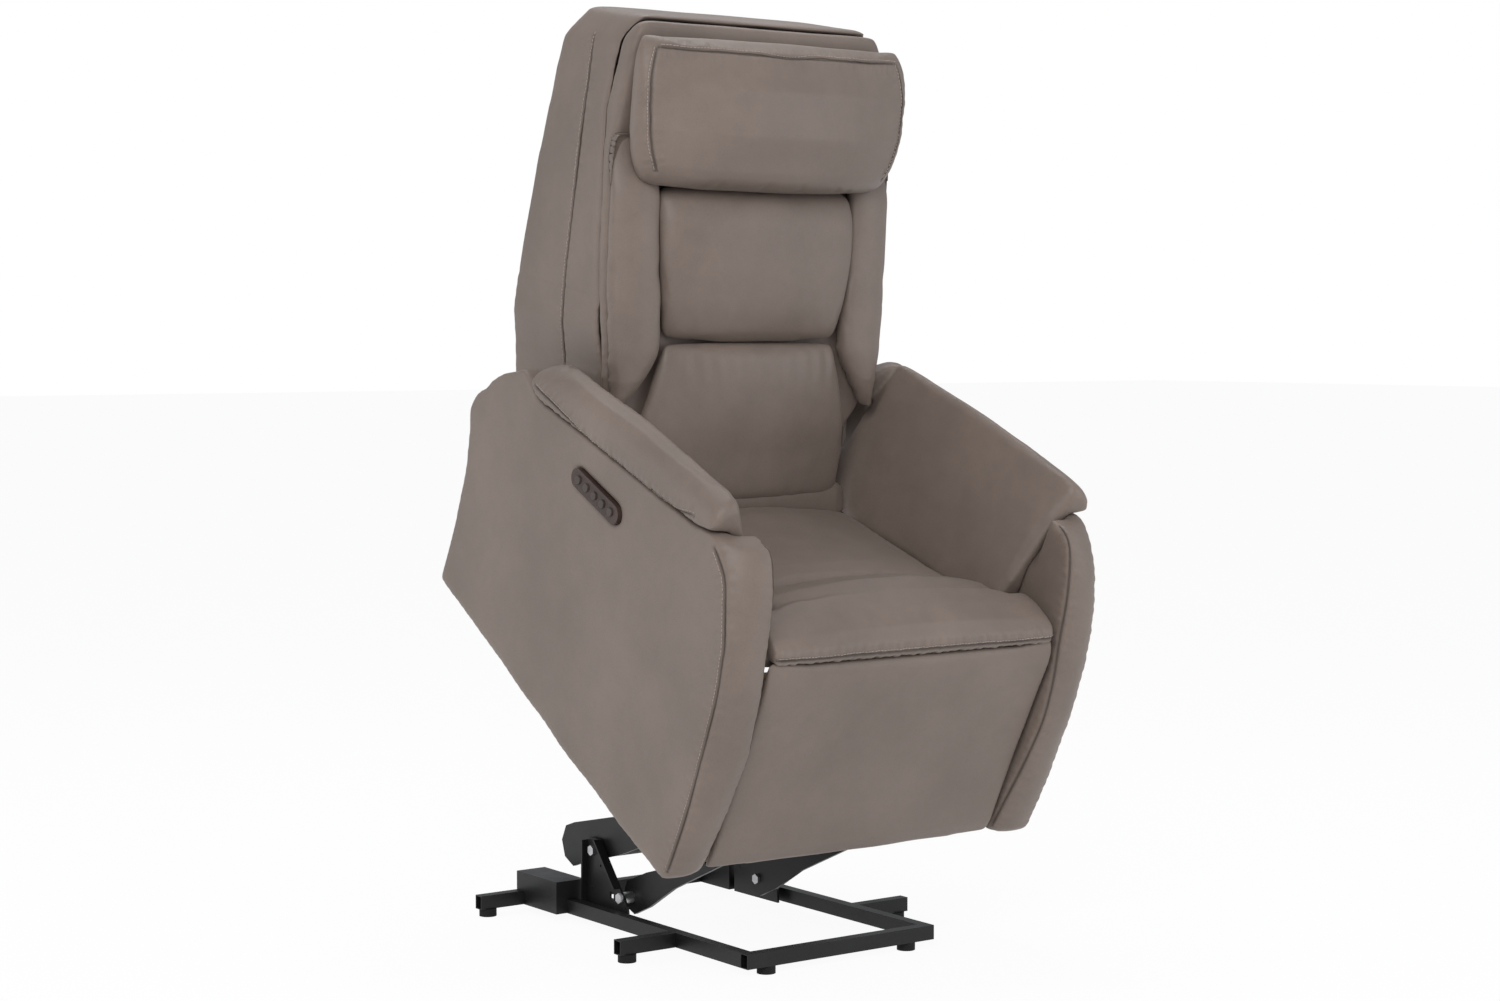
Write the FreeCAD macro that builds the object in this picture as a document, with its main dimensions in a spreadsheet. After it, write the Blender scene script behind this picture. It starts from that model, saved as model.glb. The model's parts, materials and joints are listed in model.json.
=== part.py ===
import FreeCAD, Part
import math
import os
import re
import Sketcher
from FreeCAD import Placement, Rotation, Vector

# A powered lift recliner chair, raised and tipped forward on its steel base.
# Millimetres, Z up, the chair faces -Y, X is across it, the floor is Z = 0.
# Seat coordinates are those of the lowered chair: the seat pieces are drawn in them and then
# placed raised. Back coordinates start at the back hinge, along the upright back.

# Each size: name, value, what it is
SIZES = [
    # Whole chair
    ("setback", 227.8, "origin of the chair behind the front of the base"),
    ("lift_tilt", 27, "tip of the raised chair in degrees"),
    ("lift_swing", 23.53, "turn of the upper links over the lift in degrees"),
    ("run_gap", 0.3, "gap between a moving piece and its neighbour"),
    ("pin_gap", 0.05, "radial gap of a pin in its hole"),
    # Base
    ("foot_height", 13.6, "rubber foot"),
    ("foot_radius", 15.5, "rubber foot"),
    ("tube_height", 24.5, "base tube"),
    ("tube_width", 20, "base tube"),
    ("tube_wall", 1.6, "base tube"),
    ("rail_reach", 195, "outer side of a rail from the middle"),
    ("rail_end", 655, "rear end of a rail"),
    ("mid_outrigger_front", 205.3, "front of the middle outriggers"),
    ("rear_outrigger_front", 655.6, "front of the rear outriggers"),
    ("outrigger_reach", 305, "end of an outrigger from the middle"),
    ("rear_tube_front", 635.5, "front of the rear cross tube"),
    ("box_front", 545, "corner box"),
    ("box_rear", 679, "corner box"),
    ("box_inner", 158, "corner box inner side from the middle"),
    ("box_outer", 217, "corner box outer side from the middle"),
    ("box_top", 71, "corner box"),
    ("box_wall", 2, "corner box sheet"),
    ("front_foot_x", 146.5, "front feet from the middle"),
    # Lift linkage
    ("pivot_a_y", 509, "upper pivot on the base"),
    ("pivot_a_z", 128, "upper pivot on the base"),
    ("pivot_b_y", 420, "lower pivot on the base"),
    ("pivot_b_z", 57, "lower pivot on the base"),
    ("pivot_c_y", 58, "upper link pivot on the lowered seat"),
    ("pivot_c_z", 90, "upper link pivot on the lowered seat"),
    ("pivot_d_y", -25, "lower link pivot on the lowered seat"),
    ("lower_link_length", 451.5, "lower link between pivots"),
    ("web_inner", 159, "upright bracket inner side from the middle"),
    ("web_wall", 4, "upright bracket sheet"),
    ("flange_depth", 16, "upright bracket flange from the inner side"),
    ("upper_link_inner", 149, "upper link inner side from the middle"),
    ("lower_link_inner", 132, "lower link inner side from the middle"),
    ("link_wall", 7, "lift link plate"),
    ("lift_plate_inner", 141, "lift plate inner side from the middle"),
    ("lift_plate_wall", 6, "lift plate"),
    ("link_half", 19, "half height of a lift link"),
    ("eye_radius", 16, "link eye"),
    ("bolt_radius", 5, "pivot bolt"),
    ("open_pin_radius", 4, "pin of an open pivot"),
    ("lift_drift", 5.5, "travel of the open lift pivots"),
    ("tail_y", 70.4, "middle of the upper link tail behind its pivot"),
    ("tail_z", 22.8, "middle of the upper link tail above the link line"),
    ("tail_radius", 37, "upper link tail"),
    ("torque_y", 74, "torque tube behind the pivot"),
    ("torque_z", 10, "torque tube above the link line"),
    ("torque_radius", 18, "torque tube"),
    ("torque_wall", 3, "torque tube"),
    ("drive_reach", 60, "drive pin from the upper pivot"),
    ("drive_angle", 25, "drive pin in the raised chair in degrees"),
    ("tie_radius", 12, "tie tube of the lower links"),
    ("tie_place", 250, "tie tube from the lower pivot"),
    # Lift motor
    ("lift_motor_y", 73.6, "motor pivot on the seat"),
    ("lift_motor_z", 150.1, "motor pivot on the seat"),
    ("lift_motor_x", 55, "motor line from the middle"),
    ("lift_tube_radius", 18, "outer tube"),
    ("lift_tube_end", 440, "end of the outer tube from the motor pivot"),
    ("lift_rod_radius", 11, "push rod"),
    ("lift_eye_radius", 13, "eye of the push rod"),
    ("can_radius", 25, "motor can"),
    ("can_length", 160, "motor can"),
    ("lift_rod_hidden", 110, "push rod inside the outer tube of the raised chair"),
    ("drive_eye_width", 16, "width of an actuator eye"),
    ("ear_wall", 5, "clevis ear"),
    # Seat chassis
    ("clevis_tube_y", 10, "front of the clevis tube"),
    ("clevis_tube_z", 135, "underside of the clevis tube"),
    ("clevis_tube_depth", 25, "clevis tube"),
    ("clevis_tube_height", 30, "clevis tube"),
    ("seat_tube_width", 30, "seat cross tube"),
    ("seat_tube_height", 25, "seat cross tube"),
    ("seat_tube_under", 339, "underside of the seat cross tubes"),
    ("front_tube_y", 165, "front of the front seat tube"),
    ("middle_tube_y", 320, "front of the middle seat tube"),
    ("rear_tube_y", 585, "front of the rear seat tube"),
    ("rear_tube_under", 222, "underside of the rear seat tube"),
    ("side_plate_inner", 286, "mechanism plate inner side from the middle"),
    ("side_plate_wall", 4, "mechanism plate"),
    ("board_half", 236, "half width of the seat board"),
    ("board_wall", 12, "seat board"),
    ("board_rear", 455, "rear end of the seat board"),
    ("shelf_under", 405, "underside of the board's front shelf"),
    ("shelf_wall", 8, "front shelf of the seat board"),
    ("panel_inner", 298, "side panel inner face from the middle"),
    ("panel_outer", 379, "side panel outer face from the middle"),
    ("drape_inner", 240, "foot of the arm drape from the middle"),
    ("drape_rear", 561, "rear end of the arm drape"),
    ("pad_front", 45.7, "front of the arm pad"),
    ("wedge_foot", 516, "where the inner side of the panel starts to lean out"),
    # Footrest
    ("arm_pivot_y", 60, "upper pivot of the footrest arm"),
    ("arm_pivot_z", 375, "upper pivot of the footrest arm"),
    ("arm_length", 270, "footrest arm between pivots"),
    ("cross_angle", 60, "cross arm of the closed footrest above level in degrees"),
    ("arm_wall", 4, "footrest arm strip"),
    ("arm_half", 11, "half width of a footrest arm"),
    ("arm_inner", 280, "main arm layer from the middle"),
    ("cross_inner", 274, "cross arm layer from the middle"),
    ("drive_tube_radius", 12, "footrest drive tube"),
    ("slot_pin_radius", 4, "guide pin of the cross arm"),
    ("slot_half", 8.2, "half width of the guide slot"),
    ("slot_radius", 193, "guide slot"),
    ("slot_y", 241, "middle of the guide slot's arc"),
    ("slot_z", 276, "middle of the guide slot's arc"),
    ("foot_board_rear", -48, "rear face of the footrest board"),
    ("foot_board_wall", 8, "footrest board"),
    ("foot_pad_front", -74, "front edge of the footrest pad"),
    ("foot_pad_crown", 6, "crown of the footrest pad"),
    ("foot_pad_half", 295, "half width of the footrest pad"),
    ("foot_pad_bottom", 58, "bottom of the closed footrest"),
    ("foot_pad_top", 440, "top of the closed footrest"),
    # Back
    ("back_y", 560, "back hinge on the lowered seat"),
    ("back_z", 400, "back hinge on the lowered seat"),
    ("back_lean", 17, "lean of the upright back in degrees"),
    ("back_motor_y", 367.4, "recline motor pivot"),
    ("back_motor_z", 323.5, "recline motor pivot"),
    ("back_motor_x", -60, "recline motor line from the middle"),
    ("crank_reach", 93.3, "crank pin from the back hinge"),
    ("crank_angle", -33.07, "crank pin in seat coordinates in degrees"),
    ("back_drift", 4.3, "travel of the open recline pivot"),
    ("back_tube_end", 198, "end of the recline motor's outer tube"),
    ("back_tube_radius", 15, "outer tube of the recline motor"),
    ("back_rod_radius", 9, "push rod of the recline motor"),
    ("back_can_radius", 19, "recline motor can"),
    ("back_rod_hidden", 80, "push rod inside the outer tube of the upright back"),
    ("hinge_radius", 6, "back hinge pin"),
    ("bracket_inner", 229, "hinge bracket inner side from the middle"),
    ("bracket_wall", 5, "hinge bracket"),
    ("frame_half", 205, "outer side of the back frame from the middle"),
    ("frame_tube", 20, "back frame tube"),
    ("frame_front", 25, "front of the back frame"),
    ("frame_top", 690, "top of the back frame"),
    ("shell_wall", 12, "rear shell"),
    ("shell_foot", 62, "lower edge of the rear shell"),
    ("back_top", 800, "top of the back"),
    # Headrest
    ("head_hinge_z", 524, "headrest hinge"),
    ("head_hinge_radius", 5, "headrest hinge rod"),
    ("head_plate_wall", 4, "headrest hinge plate"),
    ("head_half", 190, "half width of the headrest plate"),
    # Controls
    ("switch_y", 359.3, "middle of the switch housing"),
    ("switch_z", 503.6, "middle of the switch housing"),
    ("switch_length", 150, "switch housing"),
    ("switch_height", 32, "switch housing"),
    ("switch_depth", 14, "switch housing in the panel"),
    ("switch_proud", 3, "switch housing out of the panel"),
    ("button_radius", 7, "push button"),
    ("button_pitch", 26, "push buttons"),
    ("button_proud", 3, "push button out of its housing"),
    ("button_travel", 1, "push button"),
]

doc = FreeCAD.newDocument("lift_recliner")
sheet = doc.addObject("Spreadsheet::Sheet", "Sizes")
for row, (size_name, size_value, size_note) in enumerate(SIZES, start=1):
    sheet.set(f"A{row}", size_note)
    sheet.set(f"B{row}", str(size_value))
    sheet.setAlias(f"B{row}", size_name)
doc.recompute()

SIZE_NAMES = {entry[0] for entry in SIZES}
parts = []


def ex(text):
    """An expression on the sheet, from a text of size names and numbers."""
    return re.sub(r"[a-z_]+", lambda m: "Sizes." + m.group() if m.group() in SIZE_NAMES else m.group(),
                  str(text))


def value(text):
    """The number that a text of size names stands for now."""
    return float(sheet.evalExpression(ex(text)))


def turned(y, z, degrees):
    """A point of the YZ plane turned about the X axis."""
    a = math.radians(degrees)
    return y * math.cos(a) - z * math.sin(a), y * math.sin(a) + z * math.cos(a)


def frame_at(y, z, degrees):
    """Coordinates that start at a point of the YZ plane and are turned about X."""
    return Placement(Vector(0, y, z), Rotation(Vector(1, 0, 0), degrees))


# Where each group of pieces stands in the raised chair
swing = value("lift_swing")
tilt = value("lift_tilt")
link_y = value("pivot_c_y - pivot_a_y")
link_z = value("pivot_c_z - pivot_a_z")
raised_y, raised_z = turned(link_y, link_z, -swing)
raised_c = (value("pivot_a_y") + raised_y, value("pivot_a_z") + raised_z)

BASE = Placement(Vector(0, -value("setback"), 0), Rotation())
SEAT = (BASE.multiply(frame_at(raised_c[0], raised_c[1], tilt))
        .multiply(frame_at(-value("pivot_c_y"), -value("pivot_c_z"), 0)))
BACK = SEAT.multiply(frame_at(value("back_y"), value("back_z"), -value("back_lean")))
upper_angle = math.degrees(math.atan2(-raised_z, -raised_y))
UPPER = BASE.multiply(frame_at(value("pivot_a_y"), value("pivot_a_z"), upper_angle))
d_offset = turned(value("pivot_d_y - pivot_c_y"), 0, tilt)
raised_d = (raised_c[0] + d_offset[0], raised_c[1] + d_offset[1])
lower_angle = math.degrees(math.atan2(value("pivot_b_z") - raised_d[1], value("pivot_b_y") - raised_d[0]))
LOWER = BASE.multiply(frame_at(value("pivot_b_y"), value("pivot_b_z"), lower_angle))
drive_y, drive_z = turned(value("drive_reach"), 0, value("drive_angle"))
DRIVE_PIN = BASE.multVec(Vector(0, value("pivot_a_y") + drive_y, value("pivot_a_z") + drive_z))
lift_pivot = SEAT.multVec(Vector(0, value("lift_motor_y"), value("lift_motor_z")))
lift_line = DRIVE_PIN.sub(lift_pivot)
LIFT_LENGTH = lift_line.Length
LIFT = frame_at(lift_pivot.y, lift_pivot.z, math.degrees(math.atan2(lift_line.z, lift_line.y)))
crank_y, crank_z = turned(value("crank_reach"), 0, value("crank_angle"))
back_line = (value("back_y - back_motor_y") + crank_y, value("back_z - back_motor_z") + crank_z)
BACK_LENGTH = math.hypot(back_line[0], back_line[1])
RECLINE = SEAT.multiply(frame_at(value("back_motor_y"), value("back_motor_z"),
                                 math.degrees(math.atan2(back_line[1], back_line[0]))))


def keep(item, label, frame):
    """Give a finished piece its name and place."""
    item.Label = label
    item.Placement = frame
    parts.append(item)
    return item


def new_sketch(body, role, offset):
    """A sketch on one of the body's own planes, moved out along its normal."""
    sketch = body.newObject("Sketcher::SketchObject", "Sketch")
    plane = next(item for item in body.Origin.OriginFeatures if item.Role == role)
    sketch.AttachmentSupport = [(plane, "")]
    sketch.MapMode = "FlatFace"
    sketch.setExpression("AttachmentOffset.Base.z", ex(offset))
    return sketch


def bind(sketch, kind, geometry, point, text):
    """Tie one coordinate of a sketch point to the sheet."""
    index = sketch.addConstraint(Sketcher.Constraint(kind, -1, 1, geometry, point, value(text)))
    sketch.setExpression(f"Constraints[{index}]", ex(text))


def draw_outline(sketch, points):
    """A closed outline whose corners follow the sheet."""
    first = sketch.GeometryCount
    spots = [Vector(value(px), value(py), 0) for px, py in points]
    count = len(points)
    for k in range(count):
        sketch.addGeometry(Part.LineSegment(spots[k], spots[(k + 1) % count]), False)
    for k in range(count):
        sketch.addConstraint(Sketcher.Constraint("Coincident", first + k, 2, first + (k + 1) % count, 1))
    for k, (px, py) in enumerate(points):
        bind(sketch, "DistanceX", first + k, 1, px)
        bind(sketch, "DistanceY", first + k, 1, py)


def draw_circle(sketch, centre, radius):
    """A circle whose middle and radius follow the sheet."""
    spot = Vector(value(centre[0]), value(centre[1]), 0)
    index = sketch.addGeometry(Part.Circle(spot, Vector(0, 0, 1), value(radius)), False)
    bind(sketch, "DistanceX", index, 3, centre[0])
    bind(sketch, "DistanceY", index, 3, centre[1])
    size = sketch.addConstraint(Sketcher.Constraint("Radius", index, value(radius)))
    sketch.setExpression(f"Constraints[{size}]", ex(radius))


def new_body():
    return doc.addObject("PartDesign::Body", "Body")


def add_pad(body, sketch, length):
    pad = body.newObject("PartDesign::Pad", "Pad")
    pad.Profile = sketch
    pad.setExpression("Length", ex(length))
    doc.recompute()
    return pad


def round_edges(body, base, radius, wanted):
    """Round the edges of the last feature for which wanted is true."""
    names = [f"Edge{k}" for k, edge in enumerate(base.Shape.Edges, start=1) if wanted(edge)]
    fillet = body.newObject("PartDesign::Fillet", "Fillet")
    fillet.Base = (base, names)
    fillet.setExpression("Radius", ex(radius))
    return fillet


def along_x(edge):
    """True of a straight edge that runs across the chair."""
    return isinstance(edge.Curve, Part.Line) and abs(edge.Curve.Direction.x) > 0.99


def start_of(side, inner, wall):
    """Where a plate starts in X, from its inner side and its wall."""
    return f"{inner}" if side > 0 else f"-({inner}) - ({wall})"


def plate_body(start, wall, outline, holes=(), corner=None):
    """A flat plate across X, with round holes."""
    body = new_body()
    sketch = new_sketch(body, "YZ_Plane", start)
    draw_outline(sketch, outline)
    for centre, radius in holes:
        draw_circle(sketch, centre, radius)
    pad = add_pad(body, sketch, wall)
    if corner:
        round_edges(body, pad, corner, along_x)
    return body


def tube_body(role, offset, middle, size, wall, length, backward=False):
    """A rectangular tube drawn on a plane, as an outer and an inner outline."""
    body = new_body()
    sketch = new_sketch(body, role, offset)
    for inset in ("0", wall):
        half_x = f"(({size[0]}) / 2 - ({inset}))"
        half_y = f"(({size[1]}) / 2 - ({inset}))"
        draw_outline(sketch, [
            (f"{middle[0]} - {half_x}", f"{middle[1]} - {half_y}"),
            (f"{middle[0]} + {half_x}", f"{middle[1]} - {half_y}"),
            (f"{middle[0]} + {half_x}", f"{middle[1]} + {half_y}"),
            (f"{middle[0]} - {half_x}", f"{middle[1]} + {half_y}"),
        ])
    pad = body.newObject("PartDesign::Pad", "Pad")
    pad.Profile = sketch
    pad.Reversed = backward
    pad.setExpression("Length", ex(length))
    return body


def cylinder(start, centre, radius, length, angle=None):
    """A cylinder along X: its start in X, its middle in Y and Z, its radius and length."""
    item = doc.addObject("Part::Cylinder", "Cylinder")
    item.setExpression("Radius", ex(radius))
    item.setExpression("Height", ex(length))
    item.Placement = Placement(Vector(0, 0, 0), Rotation(Vector(0, 1, 0), 90))
    for axis, text in zip("xyz", (start, centre[0], centre[1])):
        item.setExpression(f"Placement.Base.{axis}", ex(text))
    if angle:
        item.Angle = angle
    return item


def rod(start, centre, radius, length):
    """A cylinder along Y."""
    item = cylinder(centre[0], (start, centre[1]), radius, length)
    item.Placement = Placement(item.Placement.Base, Rotation(Vector(1, 0, 0), -90))
    return item


def block(x_from, x_size, y_from, y_size, z_from, z_size):
    """A box by its lowest corner and its sizes."""
    item = doc.addObject("Part::Box", "Box")
    for name, text in zip(("Length", "Width", "Height"), (x_size, y_size, z_size)):
        item.setExpression(name, ex(text))
    for axis, text in zip("xyz", (x_from, y_from, z_from)):
        item.setExpression(f"Placement.Base.{axis}", ex(text))
    return item


def fused(items):
    result = doc.addObject("Part::MultiFuse", "Fuse")
    result.Shapes = items
    return result


def cut(base, tools):
    result = doc.addObject("Part::Cut", "Cut")
    result.Base = base
    result.Tool = tools[0] if len(tools) == 1 else fused(tools)
    return result


def group(items):
    result = doc.addObject("Part::Compound", "Group")
    result.Links = items
    return result


def bar_body(start, wall, first, last, half, holes):
    """A strip between two points of the YZ plane, with round ends and holes."""
    body = new_body()
    y1, z1 = value(first[0]), value(first[1])
    y2, z2 = value(last[0]), value(last[1])
    sketch = new_sketch(body, "YZ_Plane", start)
    length = math.hypot(y2 - y1, z2 - z1)
    nx, nz = -(z2 - z1) / length * value(half), (y2 - y1) / length * value(half)
    ux, uz = (y2 - y1) / length * value(half), (z2 - z1) / length * value(half)
    sketch.addGeometry(Part.LineSegment(Vector(y1 + nx, z1 + nz, 0), Vector(y2 + nx, z2 + nz, 0)), False)
    sketch.addGeometry(Part.LineSegment(Vector(y1 - nx, z1 - nz, 0), Vector(y2 - nx, z2 - nz, 0)), False)
    near = Part.Arc(Vector(y1 + nx, z1 + nz, 0), Vector(y1 - ux, z1 - uz, 0), Vector(y1 - nx, z1 - nz, 0))
    far = Part.Arc(Vector(y2 - nx, z2 - nz, 0), Vector(y2 + ux, z2 + uz, 0), Vector(y2 + nx, z2 + nz, 0))
    sketch.addGeometry(near, False)
    sketch.addGeometry(far, False)
    for arc, spot in ((2, first), (3, last)):
        bind(sketch, "DistanceX", arc, 3, spot[0])
        bind(sketch, "DistanceY", arc, 3, spot[1])
    size = sketch.addConstraint(Sketcher.Constraint("Radius", 2, value(half)))
    sketch.setExpression(f"Constraints[{size}]", ex(half))
    for line, start_arc, end_arc, pos_a, pos_b in ((0, 2, 3, 1, 2), (1, 2, 3, 2, 1)):
        sketch.addConstraint(Sketcher.Constraint("Tangent", line, 1, start_arc, pos_a))
        sketch.addConstraint(Sketcher.Constraint("Tangent", line, 2, end_arc, pos_b))
    for centre, radius in holes:
        draw_circle(sketch, centre, radius)
    add_pad(body, sketch, wall)
    return body


def soft(shape, label, frame):
    """A padded piece whose shape is lofted through its sections."""
    item = doc.addObject("Part::Feature", "Soft")
    item.Shape = shape
    return keep(item, label, frame)


def line(a, b):
    return Part.LineSegment(a, b).toShape()


def arc(a, middle, b):
    return Part.Arc(a, middle, b).toShape()


def loft(wires, ruled=True):
    return Part.makeLoft(wires, True, ruled)


def padded_section(z, half, rear, side, crown, bulge=4):
    """A level section of an upright cushion: flat rear, drawn-in sides, crowned front."""
    edge = half - bulge
    left_rear = Vector(-edge, rear, z)
    right_rear = Vector(edge, rear, z)
    right_front = Vector(edge, side, z)
    left_front = Vector(-edge, side, z)
    middle = (rear + side) / 2
    return Part.Wire([
        line(left_rear, right_rear),
        arc(right_rear, Vector(half, middle, z), right_front),
        arc(right_front, Vector(0, crown, z), left_front),
        arc(left_front, Vector(-half, middle, z), left_rear),
    ])


def make_base():
    """Tubes, corner boxes, feet, upright brackets and the pivot bolts."""
    middle_z = "foot_height + tube_height / 2"
    size = ("tube_width", "tube_height")
    for side, word in ((-1, "left"), (1, "right")):
        rail = tube_body("XZ_Plane", "-tube_width", (f"{side} * (rail_reach - tube_width / 2)", middle_z),
                         size, "tube_wall", "rail_end - tube_width", backward=True)
        keep(rail, f"{word}_rail", BASE)
    front = tube_body("YZ_Plane", "-rail_reach", ("tube_width / 2", middle_z), size, "tube_wall",
                      "2 * rail_reach")
    keep(front, "front_cross_tube", BASE)
    rear = tube_body("YZ_Plane", "-box_inner", ("rear_tube_front + tube_width / 2", middle_z), size,
                     "tube_wall", "2 * box_inner")
    keep(rear, "rear_cross_tube", BASE)
    for label, front_y, inner in (("middle_outriggers", "mid_outrigger_front", "rail_reach"),
                                  ("rear_outriggers", "rear_outrigger_front", "box_outer")):
        pair = []
        for side in (-1, 1):
            start = start_of(side, inner, f"outrigger_reach - {inner}")
            pair.append(tube_body("YZ_Plane", start, (f"{front_y} + tube_width / 2", middle_z), size,
                                  "tube_wall", f"outrigger_reach - {inner}"))
        keep(group(pair), label, BASE)
    keep(group([corner_box(side) for side in (-1, 1)]), "corner_boxes", BASE)
    for side, word in ((-1, "left"), (1, "right")):
        make_upright(side, word)
    feet = []
    for x_place, y_place in (("front_foot_x", "foot_radius"),
                             ("outrigger_reach - foot_radius - 4", "mid_outrigger_front + tube_width / 2"),
                             ("outrigger_reach - foot_radius - 4", "rear_outrigger_front + tube_width / 2")):
        for side in (-1, 1):
            foot = cylinder(f"{side} * ({x_place})", (y_place, "0"), "foot_radius", "foot_height")
            foot.Placement = Placement(foot.Placement.Base, Rotation())
            feet.append(foot)
    keep(group(feet), "rubber_feet", BASE)
    make_pivot_bolts()


def corner_box(side):
    """A sheet cover over a rail end, open below, that carries the rear outrigger."""
    outer = block(start_of(side, "box_inner", "box_outer - box_inner"), "box_outer - box_inner",
                  "box_front", "box_rear - box_front", "foot_height", "box_top - foot_height")
    inner = block(start_of(side, "box_inner + box_wall", "box_outer - box_inner - 2 * box_wall"),
                  "box_outer - box_inner - 2 * box_wall", "box_front + box_wall",
                  "box_rear - box_front - 2 * box_wall", "foot_height - 1",
                  "box_top - foot_height - box_wall + 1")
    passage = block(start_of(side, "rail_reach - tube_width", "tube_width"), "tube_width",
                    "box_front - 1", "box_wall + 2", "foot_height - 1", "tube_height + 1")
    return cut(outer, [inner, passage])


def make_upright(side, word):
    """A folded bracket on the inner side of a rail, with both base pivots."""
    outline = [
        ("pivot_b_y - 24", "foot_height"),
        ("pivot_a_y + 21", "foot_height"),
        ("pivot_a_y + 21", "pivot_a_z + 13"),
        ("pivot_a_y + 12", "pivot_a_z + 22"),
        ("pivot_a_y - 21", "pivot_a_z + 22"),
        ("pivot_b_y - 20", "pivot_b_z - 12"),
    ]
    body = new_body()
    sketch = new_sketch(body, "YZ_Plane", start_of(side, "web_inner", "flange_depth"))
    draw_outline(sketch, outline)
    draw_circle(sketch, ("pivot_a_y", "pivot_a_z"), "bolt_radius")
    draw_circle(sketch, ("pivot_b_y", "pivot_b_z"), "bolt_radius")
    draw_circle(sketch, ("pivot_a_y - 25", "pivot_a_z - 24"), "2.5")
    draw_circle(sketch, ("pivot_a_y + 2", "pivot_a_z - 66"), "2.5")
    draw_outline(sketch, [
        ("pivot_b_y + 23", "pivot_b_z - 5.5"),
        ("pivot_b_y + 35", "pivot_b_z - 5.5"),
        ("pivot_b_y + 35", "pivot_b_z + 6.5"),
        ("pivot_b_y + 23", "pivot_b_z + 6.5"),
    ])
    add_pad(body, sketch, "flange_depth")
    # The hollow between the rear flange and the slanted front flange, open at top and bottom
    offset = "web_inner + web_wall" if side > 0 else "-web_inner - web_wall"
    hollow = new_sketch(body, "YZ_Plane", offset)
    draw_outline(hollow, [
        ("pivot_b_y - 30", "foot_height - 1"),
        ("pivot_a_y + 17", "foot_height - 1"),
        ("pivot_a_y + 17", "pivot_a_z + 23"),
        ("pivot_a_y - 16", "pivot_a_z + 23"),
        ("pivot_b_y + 9", "pivot_b_z + 16"),
        ("pivot_b_y - 30", "pivot_b_z + 16"),
    ])
    pocket = body.newObject("PartDesign::Pocket", "Pocket")
    pocket.Profile = hollow
    pocket.Reversed = side > 0
    pocket.setExpression("Length", ex("flange_depth"))
    keep(body, f"{word}_upright", BASE)


def make_pivot_bolts():
    """Bolts through the uprights and links, with heads, nuts and the lower spacer sleeves."""
    items = []
    a_spot = ("pivot_a_y", "pivot_a_z")
    b_spot = ("pivot_b_y", "pivot_b_z")
    for side in (-1, 1):
        for spot, inner in ((a_spot, "upper_link_inner"), (b_spot, "lower_link_inner")):
            length = f"web_inner + web_wall - {inner}"
            shaft = cylinder(start_of(side, inner, length), spot, "bolt_radius", length)
            gap = f"web_inner - {inner} - link_wall - run_gap"
            sleeve = cylinder(start_of(side, f"{inner} + link_wall + run_gap", gap), spot,
                              "bolt_radius + 5", gap)
            head = hex_head(start_of(side, "web_inner + web_wall", "6"), spot)
            nut = hex_head(start_of(side, f"{inner} - run_gap - 6", "6 + run_gap"), spot)
            items.append(fused([shaft, sleeve, head, nut]))
    keep(group(items), "pivot_bolts", BASE)


def hex_head(start, spot):
    """A hexagon head or nut across X."""
    prism = doc.addObject("Part::Prism", "Prism")
    prism.Polygon = 6
    prism.setExpression("Circumradius", ex("bolt_radius * 1.9"))
    prism.setExpression("Height", ex("6"))
    prism.Placement = Placement(Vector(0, 0, 0), Rotation(Vector(0, 1, 0), 90))
    for axis, text in zip("xyz", (start, spot[0], spot[1])):
        prism.setExpression(f"Placement.Base.{axis}", ex(text))
    return prism


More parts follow.
